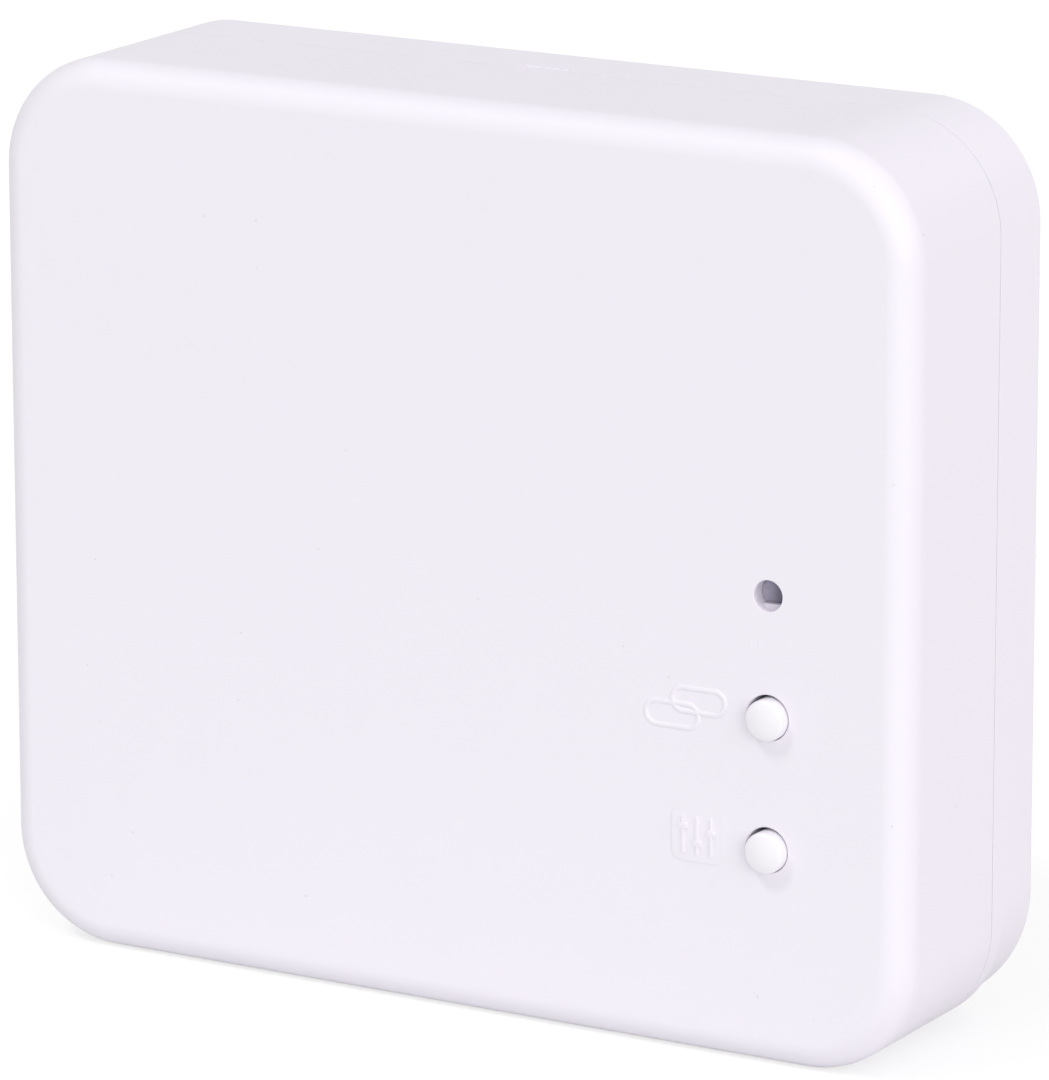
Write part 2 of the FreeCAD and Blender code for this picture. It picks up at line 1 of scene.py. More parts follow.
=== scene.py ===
"""Finishes the receiver box of a wireless heating thermostat piece by piece, and sets up the camera and
lights to photograph it.

Metres. X is to the right, Z is up, the wall face is the plane Y = 0 and the front looks along -Y.
"""
from contextlib import contextmanager
from itertools import product
from math import cos, pi, radians, sin

import bmesh
import bpy
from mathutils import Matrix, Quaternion, Vector


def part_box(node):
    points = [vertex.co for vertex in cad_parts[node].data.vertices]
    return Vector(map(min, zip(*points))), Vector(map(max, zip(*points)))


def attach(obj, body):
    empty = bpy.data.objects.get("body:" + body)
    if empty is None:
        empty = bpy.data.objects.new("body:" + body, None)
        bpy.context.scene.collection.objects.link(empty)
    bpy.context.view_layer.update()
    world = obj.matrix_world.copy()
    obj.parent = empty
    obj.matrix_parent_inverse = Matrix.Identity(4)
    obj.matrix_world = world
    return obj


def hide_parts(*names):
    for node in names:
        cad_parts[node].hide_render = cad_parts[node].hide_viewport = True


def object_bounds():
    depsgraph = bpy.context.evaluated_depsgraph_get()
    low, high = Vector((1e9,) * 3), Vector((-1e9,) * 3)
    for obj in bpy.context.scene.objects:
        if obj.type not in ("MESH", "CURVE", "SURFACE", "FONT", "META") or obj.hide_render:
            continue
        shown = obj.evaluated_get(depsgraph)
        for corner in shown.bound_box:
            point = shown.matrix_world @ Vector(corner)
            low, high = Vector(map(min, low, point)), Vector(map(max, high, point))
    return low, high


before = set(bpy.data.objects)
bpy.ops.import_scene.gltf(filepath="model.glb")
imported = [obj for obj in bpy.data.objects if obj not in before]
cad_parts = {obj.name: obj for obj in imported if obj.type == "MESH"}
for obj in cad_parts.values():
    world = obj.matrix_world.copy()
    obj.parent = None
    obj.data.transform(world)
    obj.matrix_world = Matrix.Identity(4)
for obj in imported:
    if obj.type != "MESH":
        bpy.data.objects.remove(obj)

cad_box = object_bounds()
mm = 0.001


# Camera
# It stands to the right of the box and a little above it, where the photograph was taken from. Its
# place was fitted to the outline of the case and to the three round holes of the front.
camera_place = Vector((0.363493, -0.628314, 0.179800))
camera_aim = Vector((0.001535, -0.013, -0.000549))
camera_roll = -0.002
camera_lens = 255.327


def clear_selection():
    """Leaves no object selected, so that an operator acts only on what follows."""
    bpy.ops.object.select_all(action="DESELECT")


clear_selection()
bpy.ops.object.camera_add(location=camera_place)
camera = bpy.context.object
camera.name = "camera"
camera.rotation_mode = "QUATERNION"
looking = (camera_aim - camera_place).to_track_quat("-Z", "Y")
camera.rotation_quaternion = looking @ Quaternion((0, 0, 1), camera_roll)
camera.data.lens = camera_lens
bpy.context.scene.camera = camera


# Studio
# The box stands on a white table under a pale sky. A light from the upper left draws the shadows of
# the buttons, one from the right and one low before the right corner model the side and the front,
# and a weak one from high up lifts the upper edges.
sky_level = 0.59
table_reach = 3.0
table_grey = 0.80
table_seen_grey = 0.42
table_glow = 0.66
# Each light has a name, the way it lies, its power, its width in degrees and its colour
lights = (
    ("top_light", (-0.31, -0.47, 0.83), 0.64, 12, (1.0, 1.0, 1.0)),
    ("side_light", (0.88, -0.31, 0.36), 0.47, 36, (1.0, 0.84, 0.96)),
    ("corner_light", (0.70, -0.70, 0.17), 1.15, 40, (0.945, 1.0, 0.935)),
    ("high_light", (0.30, -0.30, 0.90), 0.11, 30, (1.0, 1.0, 1.0)),
)


class Value:
    """A value of a shader, which takes part in Python sums by adding Math nodes."""

    def __init__(self, graph, socket):
        self.graph = graph
        self.socket = socket

    def maths(self, operation, *others):
        inputs = dict(enumerate((self, *others)))
        return self.graph.node("ShaderNodeMath", {"operation": operation}, inputs)

    def __add__(self, other):
        return self.maths("ADD", other)

    def __sub__(self, other):
        return self.maths("SUBTRACT", other)

    def __mul__(self, other):
        return self.maths("MULTIPLY", other)

    def __rsub__(self, other):
        return self.graph.node("ShaderNodeMath", {"operation": "SUBTRACT"}, {0: other, 1: self})

    def __lt__(self, other):
        return self.maths("LESS_THAN", other)

    def __gt__(self, other):
        return self.maths("GREATER_THAN", other)

    __radd__ = __add__
    __rmul__ = __mul__


class Graph:
    """The nodes of a material or of the sky."""

    def __init__(self, owner):
        owner.use_nodes = True
        self.tree = owner.node_tree
        self.tree.nodes.clear()

    def node(self, kind, settings=None, inputs=None, output=0):
        """Adds a node with its settings and its inputs, and returns one of its outputs."""
        made = self.tree.nodes.new(kind)
        for name, value in (settings or {}).items():
            setattr(made, name, value)
        for name, value in (inputs or {}).items():
            if isinstance(value, Value):
                self.tree.links.new(value.socket, made.inputs[name])
            else:
                made.inputs[name].default_value = value
        return Value(self, made.outputs[output]) if made.outputs else None


def seen_directly(graph):
    """One for rays that see a surface from the camera, in a gloss or through glass, else nought."""
    outputs = graph.node("ShaderNodeLightPath").socket.node.outputs
    camera_ray, glossy, through = (Value(graph, outputs[name]) for name in (
        "Is Camera Ray", "Is Glossy Ray", "Is Transmission Ray"))
    return camera_ray.maths("MAXIMUM", glossy).maths("MAXIMUM", through)


bpy.context.scene.world = bpy.data.worlds.new("pale_sky")
sky = Graph(bpy.context.scene.world)
strength = sky_level + seen_directly(sky) * (1 - sky_level)
background = sky.node("ShaderNodeBackground", {}, {"Color": (1, 1, 1, 1), "Strength": strength})
sky.node("ShaderNodeOutputWorld", {}, {"Surface": background})

clear_selection()
bpy.ops.mesh.primitive_plane_add(size=2 * table_reach, location=(0, 0, cad_box[0].z))
table = bpy.context.object
table.name = "table"
white_table = bpy.data.materials.new("white_table")
graph = Graph(white_table)
lit, shown = (graph.node("ShaderNodeBsdfDiffuse", {}, {"Color": (grey, grey, grey, 1)})
              for grey in (table_grey, table_seen_grey))
glow = graph.node("ShaderNodeEmission", {}, {"Strength": table_glow})
bright = graph.node("ShaderNodeAddShader", {}, {0: shown, 1: glow})
surface = graph.node("ShaderNodeMixShader", {}, {0: seen_directly(graph), 1: lit, 2: bright})
graph.node("ShaderNodeOutputMaterial", {}, {"Surface": surface})
table.data.materials.append(white_table)

for name, way, power, width, colour in lights:
    bpy.ops.object.light_add(type="SUN", location=way)
    light = bpy.context.object
    light.name = name
    light.rotation_euler = Vector(way).to_track_quat("Z", "Y").to_euler()
    light.data.energy = power
    light.data.color = colour
    light.data.angle = radians(width)

bpy.context.scene.view_settings.view_transform = "Standard"


# Front cover
# The deep half of the case, moulded in white ABS with a satin surface. It has soft edges, 2 mm walls
# that end in a rebate at the seam, and holes for the status light and the two push-buttons.
cover_low, cover_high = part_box("front_cover")
front, seam = cover_low.y, cover_high.y
corner_radius = 11.2 * mm
soft_edge = 2.8 * mm
case_wall = 2.0 * mm
seam_round = 0.06 * mm
seam_steps = 2
rebate_inset = 1.0 * mm
rebate_depth = 2.1 * mm
corner_steps = 24
edge_steps = 10
hole_steps = 96
button_hole = 2.2 * mm
light_hole = 1.5 * mm
ledge_depth = 1.0 * mm
ledge_drop = 1.0 * mm
rim_round = 0.13 * mm
light_rim = 0.08 * mm
rim_turn = 80
rim_steps = 5
smooth_angle = radians(32)
same_place = 0.002 * mm
merge_distance = 0.0005 * mm
cut_slack = 0.001 * mm
sleeve_length = 2.6 * mm
sleeve_outside = 3.6 * mm
socket_outside = 3.25 * mm
socket_bore = 1.85 * mm
web_half = 0.5 * mm
web_height = 2.0 * mm
sink = 1.0 * mm
gusset_half = 0.6 * mm
gusset_reach = 3.2 * mm
gusset_height = 5.0 * mm
gusset_pitch = 22.0 * mm
hook_x = 25.0 * mm
catch_half = 5.0 * mm
catch_reach = 1.0 * mm
catch_height = 1.4 * mm
catch_near = seam - 2.68 * mm
case_white = (0.868, 0.832, 0.905)
case_tint = (0.858, 0.826, 0.902)
case_roughness = 0.5
speck_density = 210.0
speck_size = 0.026
speck_shade = 0.87
cloud_roughness = 0.06
grain_roughness = 0.08
# The wall of the light's hole gets painted shade: from the case's white at the front to this grey further
# in.
bore_shade_reach = light_hole + 0.02 * mm
bore_shade_colour = (0.72, 0.68, 0.76)
bore_shade_fade = 0.7 * mm


def placed(node):
    """The low corner, the high corner and the centre of a CAD node."""
    low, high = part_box(node)
    return low, high, (low + high) / 2


def only(piece):
    """Makes a piece the one that operators act on."""
    clear_selection()
    piece.select_set(True)
    bpy.context.view_layer.objects.active = piece


@contextmanager
def shaping(piece, whole=False):
    """Keeps a piece in edit mode meanwhile, with its whole mesh selected or as it was."""
    only(piece)
    bpy.ops.object.mode_set(mode="EDIT")
    if whole:
        bpy.ops.mesh.select_all(action="SELECT")
    yield
    bpy.ops.object.mode_set(mode="OBJECT")


def named(piece, name):
    """Gives a piece and its mesh a name."""
    piece.name = piece.data.name = name
    return piece


def near(first, second):
    """Whether two lengths are the same within a slack."""
    return abs(first - second) < same_place


def at_y(y):
    """A test for places at one Y."""
    return lambda place: near(place.y, y)


def anywhere(place):
    """A test that every place passes."""
    return True


def pick(piece, kind, test, along_y=False):
    """In edit mode, selects the edges or faces whose corners all pass a test, or those along Y only."""
    bpy.ops.mesh.select_mode(type="EDGE" if kind == "edges" else "FACE")
    bpy.ops.mesh.select_all(action="DESELECT")
    mesh = bmesh.from_edit_mesh(piece.data)
    for element in getattr(mesh, kind):
        places = [corner.co for corner in element.verts]
        upright = near(places[0].x, places[1].x) and near(places[0].z, places[1].z)
        if all(test(place) for place in places) and (upright or not along_y):
            element.select_set(True)
    mesh.select_flush_mode()
    bmesh.update_edit_mesh(piece.data)


def soften(piece, test, radius, steps, along_y=False):
    """Rounds the edges whose ends pass a test, or those of them along Y only."""
    with shaping(piece):
        pick(piece, "edges", test, along_y)
        bpy.ops.mesh.bevel(offset=radius, segments=steps, profile=0.5, clamp_overlap=False)


def box_between(name, low, high):
    """A cube stretched between two corners, with its place in its mesh."""
    low, high = Vector(low), Vector(high)
    clear_selection()
    bpy.ops.mesh.primitive_cube_add(size=1, location=(low + high) / 2)
    piece = named(bpy.context.object, name)
    piece.scale = high - low
    bpy.ops.object.transform_apply(location=True, rotation=True, scale=True)
    return piece


def bar(name, x, half, start, end, *levels):
    """A box round an X, between two Y and two Z."""
    return box_between(name, (x - half, start, min(levels)), (x + half, end, max(levels)))


def rounded_box(name, low, high, radius, steps=corner_steps, edge=0, edge_steps=0):
    """A box with its four corners rounded as seen from the front, and perhaps its front edge."""
    piece = box_between(name, low, high)
    soften(piece, anywhere, radius, steps, along_y=True)
    if edge:
        soften(piece, at_y(low[1]), edge, edge_steps)
    return piece


def turned(name, centre, profile, steps=hole_steps):
    """A turned solid towards the front: a disc drawn out through points of radius and Y."""
    clear_selection()
    foot = (centre.x, profile[0][1], centre.z)
    bpy.ops.mesh.primitive_circle_add(vertices=steps, radius=profile[0][0], fill_type="NGON", location=foot,
                                      rotation=(pi / 2, 0, 0))
    piece = named(bpy.context.object, name)
    bpy.ops.object.transform_apply(location=True, rotation=True, scale=True)
    with shaping(piece, whole=True):
        for (radius, place), (next_radius, next_place) in zip(profile, profile[1:]):
            bpy.ops.mesh.extrude_region_move(TRANSFORM_OT_translate={"value": (0, next_place - place, 0)})
            ratio = next_radius / radius
            bpy.ops.transform.resize(value=(ratio, 1, ratio),
                                     center_override=(centre.x, next_place, centre.z))
        bpy.ops.mesh.select_all(action="SELECT")
        bpy.ops.mesh.normals_make_consistent(inside=False)
    return piece


def drilled(name, centre, radius, start, end, steps=hole_steps):
    """A plain round rod, which adds a post or cuts a hole."""
    return turned(name, centre, [(radius, start), (radius, end)], steps)


def arc(radius, place, size, finish=90, steps=6):
    """Points of a round edge in a turned profile, round a point of radius and Y."""
    turns = [radians(finish * step / steps) for step in range(steps + 1)]
    return [(radius + size * cos(turn), place - size * sin(turn)) for turn in turns]


def cut_off(piece, point, slope):
    """Cuts off what lies beyond a plane, through a point and facing along a slope, and closes it."""
    with shaping(piece, whole=True):
        bpy.ops.mesh.bisect(plane_co=point, plane_no=Vector(slope).normalized(), use_fill=True,
                            clear_outer=True, threshold=cut_slack)
    return piece


def apply_modifier(piece, kind, **settings):
    """Gives a piece a modifier with its settings, and applies it."""
    change = piece.modifiers.new(kind.lower(), kind)
    for name, value in settings.items():
        setattr(change, name, value)
    bpy.ops.object.modifier_apply(modifier=change.name)


def joined(pieces):
    """Several pieces as one."""
    only(pieces[0])
    for piece in pieces[1:]:
        piece.select_set(True)
    if len(pieces) > 1:
        bpy.ops.object.join()
    return pieces[0]


def combine(piece, others, operation):
    """Applies other pieces to a piece, by one operation on their solids."""
    tool = joined(others)
    only(piece)
    apply_modifier(piece, "BOOLEAN", operation=operation, solver="EXACT", use_self=True, object=tool)
    bpy.data.objects.remove(tool)


def add(piece, *others):
    """Adds other pieces to a piece."""
    combine(piece, others, "UNION")


def cut(piece, *others):
    """Cuts other pieces out of a piece."""
    combine(piece, others, "DIFFERENCE")


def hole_cutter(name, centre, radius, deep, rim):
    """Cutter of a round hole down to a depth, whose rim at the front is slightly rounded."""
    turns = [radians(rim_turn * step / rim_steps) for step in range(rim_steps + 1)]
    bend = [(radius + rim * (1 - cos(turn)), front + rim * (1 - sin(turn))) for turn in turns]
    return turned(name, centre, [(radius, deep)] + bend + [(bend[-1][0], front - mm)])


def on_outline(place):
    """Whether a point lies on the outer edge of the case, seen from the front."""
    across = abs(place.x) - (cover_high.x - corner_radius)
    along = abs(place.z) - (cover_high.z - corner_radius)
    if across > 0 and along > 0:
        return near(Vector((across, along)).length, corner_radius)
    return near(across, corner_radius) or near(along, corner_radius)


pairing_centre, manual_centre = (placed(node)[2] for node in ("pairing_button", "manual_button"))
guide_low, guide_high, light_centre = placed("light_guide")
inner_front = front + case_wall
inner_x, inner_z = cover_high.x - case_wall, cover_high.z - case_wall
sleeve_end = inner_front + sleeve_length

cover = rounded_box("cover_shell", cover_low, cover_high, corner_radius, edge=soft_edge,
                    edge_steps=edge_steps)
with shaping(cover):
    pick(cover, "faces", at_y(seam))
    bpy.ops.mesh.delete(type="FACE")
apply_modifier(cover, "SOLIDIFY", thickness=case_wall, offset=-1, use_even_offset=True)
soften(cover, lambda place: near(place.y, seam) and on_outline(place), seam_round, seam_steps)

fittings = [drilled("sleeve", centre, outside, sleeve_end, inner_front - sink) for centre, outside in (
    (pairing_centre, sleeve_outside), (manual_centre, sleeve_outside), (light_centre, socket_outside))]
fittings.append(bar("web", light_centre.x, web_half, inner_front - sink, inner_front + web_height,
                    manual_centre.z, light_centre.z))
for row, side, (wall_place, across) in product((-1, 0, 1), (-1, 1), ((inner_x, 0), (inner_z, 2))):
    along, tip = 2 - across, side * (wall_place - gusset_reach)
    low, high = [0, inner_front - sink, 0], [0, inner_front + gusset_height, 0]
    low[across], high[across] = sorted((tip, side * (wall_place + sink)))
    low[along], high[along] = row * gusset_pitch - gusset_half, row * gusset_pitch + gusset_half
    point, slope = [0, inner_front, 0], [0, gusset_reach, 0]
    point[across], slope[across] = tip, -side * gusset_height
    fittings.append(cut_off(box_between("gusset", low, high), point, slope))
for side_x, side_z in product((-1, 1), repeat=2):
    tip = side_z * (inner_z - catch_reach)
    catch = bar("catch", side_x * hook_x, catch_half, catch_near - catch_height, catch_near,
                tip, side_z * (inner_z + sink))
    fittings.append(cut_off(catch, (0, catch_near - catch_reach / 2, tip), (0, 2, -side_z)))
add(cover, *fittings)

cuts = [rounded_box("rebate", (cover_low.x + rebate_inset, seam - rebate_depth, cover_low.z + rebate_inset),
                    (cover_high.x - rebate_inset, seam + mm, cover_high.z - rebate_inset),
                    corner_radius - rebate_inset)]
for centre in (pairing_centre, manual_centre):
    cuts.append(hole_cutter("button_hole", centre, button_hole, sleeve_end + mm, rim_round))
cuts.append(hole_cutter("light_recess", light_centre, light_hole, front + ledge_depth, light_rim))
cuts.append(cut_off(drilled("light_hole", light_centre, light_hole, inner_front + mm, front),
                    (0, 0, light_centre.z - ledge_drop), (0, 0, -1)))
cuts.append(drilled("socket_bore", light_centre, socket_bore, sleeve_end + mm, inner_front))
cut(cover, *cuts)


def new_material(name):
    """A material, its graph, and the place on the object that its patterns follow."""
    material = bpy.data.materials.new(name)
    graph = Graph(material)
    return material, graph, graph.node("ShaderNodeTexCoord", output="Object")


def noise(graph, place, scale, detail=2.0):
    """A cloudy pattern between nought and one."""
    return graph.node("ShaderNodeTexNoise", {}, {"Vector": place, "Scale": scale, "Detail": detail})


def coat(graph, mask, under, over):
    """One colour over another where a mask is one."""
    under, over = (tone if isinstance(tone, Value) else (*tone, 1) for tone in (under, over))
    return graph.node("ShaderNodeMix", {"data_type": "RGBA"}, {0: mask, 6: under, 7: over}, output=2)


def relief(graph, height, distance, strength):
    """Small heights of a surface, as its normal."""
    return graph.node("ShaderNodeBump", {}, {"Height": height, "Distance": distance, "Strength": strength})


def distance_to(graph, place, point):
    """How far a place is from a point."""
    return graph.node("ShaderNodeVectorMath", {"operation": "DISTANCE"}, {0: place, 1: point}, "Value")


def shaded(graph, sockets):
    """Ends a material in one shader with its sockets."""
    shader = graph.node("ShaderNodeBsdfPrincipled", {}, sockets)
    graph.node("ShaderNodeOutputMaterial", {}, {"Surface": shader})


def painted_bore_shade(graph, place, base):
    """Painted shade on the white wall of the light's hole: darker inwards from the front."""
    level = graph.node("ShaderNodeVectorMath", {"operation": "MULTIPLY"}, {0: place, 1: (1, 0, 1)})
    away = distance_to(graph, level, (light_centre.x, 0, light_centre.z))
    depth = graph.node("ShaderNodeSeparateXYZ", {}, {"Vector": place}, "Y")
    faded = graph.node("ShaderNodeMapRange", {},
                       {"Value": depth, "From Min": front, "From Max": front + bore_shade_fade})
    inside = (away < bore_shade_reach) * (depth < inner_front)
    return coat(graph, inside * faded, base, bore_shade_colour)


def satin_plastic(name, colour, tint, roughness, cloud=45, grain=2600, depth=0.0035 * mm, change=None):
    """Moulded plastic: two close colours in faint clouds, a fine spark-eroded grain, a few specks."""
    material, graph, place = new_material(name)
    clouds = noise(graph, place, cloud, 3.0)
    fine = noise(graph, place, grain)
    spots = graph.node("ShaderNodeTexVoronoi", {}, {"Vector": place, "Scale": speck_density}, "Distance")
    base = coat(graph, clouds, colour, tint)
    base = coat(graph, spots < speck_size, base, [part * speck_shade for part in tint])
    if change:
        base = change(graph, place, base)
    least = roughness - (cloud_roughness + grain_roughness) / 2
    rough = clouds * cloud_roughness + fine * grain_roughness + least
    shaded(graph, {"Base Color": base, "Roughness": rough, "Normal": relief(graph, fine, depth, 1.0)})
    return material


def dress(piece, material):
    """Gives a piece one material."""
    if piece.material_slots:
        for place in piece.material_slots:
            place.material = material
    else:
        piece.data.materials.append(material)


def fit(piece, material, node=None, body="housing"):
    """Finishes a piece on its body: smooth over round edges, flat on flat faces, and in its material."""
    with shaping(piece, whole=True):
        bpy.ops.mesh.remove_doubles(threshold=merge_distance)
    bpy.ops.object.shade_smooth_by_angle(angle=smooth_angle)
    apply_modifier(piece, "WEIGHTED_NORMAL", keep_sharp=True)
    dress(piece, material)
    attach(piece, body)
    if node:
        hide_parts(node)


# The case's white carries the painted shade on the wall of the light's hole.
white_case = satin_plastic("white_case", case_white, case_tint, case_roughness, change=painted_bore_shade)
fit(cover, white_case, "front_cover")


# Raised marks of the front
# Low ridges cut into the mould, in the same white plastic: two linked rings beside the pairing
# button, a plate with sliders beside the other button, and two faint strokes under the light.
ridge = 0.26 * mm
ring_radius = 1.15 * mm
ring_length = 6.15 * mm
ridge_flatness = 0.5
ring_steps = 48
ridge_steps = 12
rings = {"upper_link": Vector((28.0, 0, -9.88)) * mm, "lower_link": Vector((25.15, 0, -11.5)) * mm}
pad_steps = 6
pad_root = 0.3 * mm
plate_middle = Vector((27.95, 0, -22.95)) * mm
plate_size = (6.8 * mm, 6.4 * mm)
plate_rise = 0.17 * mm
plate_corner = 1.2 * mm
plate_slope = 0.75 * mm
slider_pitch = 1.5 * mm
slider_size = (0.42 * mm, 3.9 * mm)
slider_rise = 0.14 * mm
slider_corner = 0.15 * mm
slider_slope = 0.12 * mm
knob_size = (1.1 * mm, 0.77 * mm)
knob_rise = 1.4 * slider_rise
knob_corner = 0.2 * mm
knob_slope = 0.14 * mm
knob_levels = (0.9 * mm, -0.7 * mm, 0.4 * mm)
stroke_middles = (Vector((33.45, 0, -3.45)) * mm, Vector((34.4, 0, -3.5)) * mm)
stroke_size = (0.14 * mm, 1.1 * mm)
stroke_rise = 0.05 * mm
stroke_corner = 0.05 * mm
stroke_slope = 0.03 * mm


def ridge_ring(name, middle):
    """Long ring with round ends and a round ridge, half sunk in the front."""
    stretch = ring_length - 2 * (ring_radius + ridge)
    start = Vector((middle.x - stretch / 2, front, middle.z))
    clear_selection()
    bpy.ops.mesh.primitive_torus_add(location=start, rotation=(pi / 2, 0, 0), major_radius=ring_radius,
                                     minor_radius=ridge, major_segments=ring_steps,
                                     minor_segments=ridge_steps)
    piece = named(bpy.context.object, name)
    bpy.ops.object.transform_apply(location=True, rotation=True, scale=True)
    with shaping(piece):
        pick(piece, "faces", lambda place: place.x > start.x - cut_slack)
        bpy.ops.transform.translate(value=(stretch, 0, 0))
        bpy.ops.mesh.select_all(action="SELECT")
        bpy.ops.transform.resize(value=(1, ridge_flatness, 1), center_override=start)
    return piece


def span(middle, half_x, half_z, start, end):
    """The low and the high corner of a box round a middle, between two Y."""
    return ((middle.x - half_x, start, middle.z - half_z), (middle.x + half_x, end, middle.z + half_z))


def block(name, middle, half_x, half_z, start, end):
    """A box round a middle, between two Y."""
    return box_between(name, *span(middle, half_x, half_z, start, end))


def narrow(piece, middle, y, ratio_x, ratio_z):
    """Shrinks the face of a piece at one Y, about a middle."""
    with shaping(piece):
        pick(piece, "faces", at_y(y))
        bpy.ops.transform.resize(value=(ratio_x, 1, ratio_z), center_override=(middle.x, y, middle.z))


def raised_pad(name, middle, size, rise, corner, slope, base=front):
    """Low pad with rounded corners and sloping sides, rooted in what carries it."""
    corners = span(middle, size[0] / 2, size[1] / 2, base - rise, base + pad_root)
    piece = rounded_box(name, *corners, corner, pad_steps)
    narrow(piece, middle, base - rise, *(1 - 2 * slope / side for side in size))
    return piece


for name, middle in rings.items():
    fit(ridge_ring(name, middle), white_case)
plate = raised_pad("slider_plate", plate_middle, plate_size, plate_rise, plate_corner, plate_slope)
fit(plate, white_case)
sliders = []
for column, level in zip((-1, 0, 1), knob_levels):
    middle = plate_middle + Vector((column * slider_pitch, 0, 0))
    sliders.append(raised_pad("slider", middle, slider_size, slider_rise, slider_corner, slider_slope,
                              front - plate_rise))
    sliders.append(raised_pad("slider_knob", middle + Vector((0, 0, level)), knob_size, knob_rise,
                              knob_corner, knob_slope, front - plate_rise))
fit(joined(sliders), white_case)
strokes = [raised_pad("faint_stroke", middle, stroke_size, stroke_rise, stroke_corner, stroke_slope)
           for middle in stroke_middles]
fit(joined(strokes), white_case)


# Rear base
# The shallow half of the case, moulded in the same ABS. Its tongue sits in the cover's rebate, four
# springy arms hold the catches, and it carries the board on posts. The wall slots are in its floor.
base_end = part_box("rear_base")[0].y
wall_face = 0.0
heel_radius = 13.0 * mm
back_round = 0.4 * mm
back_steps = 4
lip_near = -6.28 * mm
shoulder = -8.28 * mm
tongue_end = -10.48 * mm
tongue_inset = 1.1 * mm
floor_top = -2.2 * mm
floor_root = floor_top / 2
post_outside = 3.0 * mm
post_end = -6.6 * mm
post_pilot_end = -3.2 * mm
post_web_end = -5.4 * mm
post_web_sink = 0.3 * mm
post_places = [Vector((x, 0, z)) * mm
               for x, z in ((-40.0, 33.5), (40.0, 33.5), (-40.0, -25.5), (27.0, -25.5))]
clamp_post_half = (3.0 * mm, 2.5 * mm)
clamp_post_end = -8.2 * mm
clamp_pilot_end = -3.7 * mm
clamp_post_places = [Vector((x, 0, -34.5)) * mm for x in (-40.5, -27.5, 27.5, 40.5)]
pilot = 1.1 * mm
few_steps = 32
support_half = (6.0 * mm, 0.7 * mm)
support_places = [Vector((x, 0, -24.0)) * mm for x in (-26.0, 4.0)]
slot_x = 30.0 * mm
slot_z = 12.0 * mm
slot_half = (4.0 * mm, 2.15 * mm)
slot_round = 0.999 * slot_half[1]
pad_half = (6.4 * mm, 4.55 * mm)
pad_end = -3.2 * mm
cable_middle = Vector((0, 0, -35.25)) * mm
cable_half = (19.0 * mm, 4.25 * mm)
cable_corner = 2.0 * mm
arm_outer = 41.3 * mm
arm_thickness = 1.5 * mm
arm_half = 4.0 * mm
arm_bump = 0.8 * mm
arm_bump_near = -12.63 * mm
arm_lead = arm_bump_near - 0.5 * mm
notch_half = 2.6 * mm
notch_middle = 1.0 * mm
notch_deep = 0.11 * mm
notch_near = -6.9 * mm
score_x = 34.0 * mm
score_half = 4.0 * mm
score_width = 0.7 * mm
score_deep = 1.3 * mm
score_end = -2.68 * mm


def tapered_box(name, low, high, radius, lower_radius):
    """Rounded box whose two lower corners have a radius of their own."""
    piece = box_between(name, low, high)
    soften(piece, lambda place: place.z > 0, radius, corner_steps, along_y=True)
    soften(piece, lambda place: place.z < 0, lower_radius, corner_steps, along_y=True)
    return piece


def outline(start, end, inset=0.0):
    """The low and the high corner of the case, moved inwards, between two Y."""
    return ((cover_low.x + inset, start, cover_low.z + inset),
            (cover_high.x - inset, end, cover_high.z - inset))


base = tapered_box("base_tray", *outline(lip_near, wall_face), corner_radius, heel_radius)
soften(base, at_y(wall_face), back_round, back_steps)
lip = rounded_box("lip", *outline(shoulder, lip_near), corner_radius, edge=seam_round,
                  edge_steps=seam_steps)
tongue = rounded_box("tongue", *outline(tongue_end, lip_near, tongue_inset), corner_radius - tongue_inset)
add(base, lip, tongue)
hollow = tapered_box("hollow", *outline(tongue_end - mm, floor_top, case_wall), corner_radius - case_wall,
                     heel_radius - case_wall)
cut(base, hollow)

fittings = [drilled("post", place, post_outside, floor_root, post_end) for place in post_places]
for place in clamp_post_places:
    fittings.append(block("clamp_post", place, *clamp_post_half, clamp_post_end, floor_root))
for place in post_places[:3]:
    wall_x = (inner_x + post_web_sink) * (1 if place.x > 0 else -1)
    fittings.append(box_between("post_web", (min(place.x, wall_x), post_web_end, place.z - web_half),
                                (max(place.x, wall_x), floor_root, place.z + web_half)))
for place in support_places:
    fittings.append(block("board_support", place, *support_half, post_end, floor_root))
for side in (-1, 1):
    slot_middle = Vector((side * slot_x, 0, slot_z))
    fittings.append(block("slot_pad", slot_middle, *pad_half, pad_end, floor_root))
for side_x, side_z in product((-1, 1), repeat=2):
    middle, outer, tip = side_x * hook_x, side_z * arm_outer, side_z * (arm_outer + arm_bump)
    inner, root = side_z * (arm_outer - arm_thickness), side_z * (arm_outer - arm_thickness / 2)
    fittings.append(bar("arm", middle, arm_half, base_end, floor_root, inner, outer))
    bump = bar("arm_bump", middle, arm_half, base_end, arm_bump_near, root, tip)
    fittings.append(cut_off(bump, (0, arm_lead, tip), (0, -arm_bump, side_z * (arm_lead - base_end))))
add(base, *fittings)

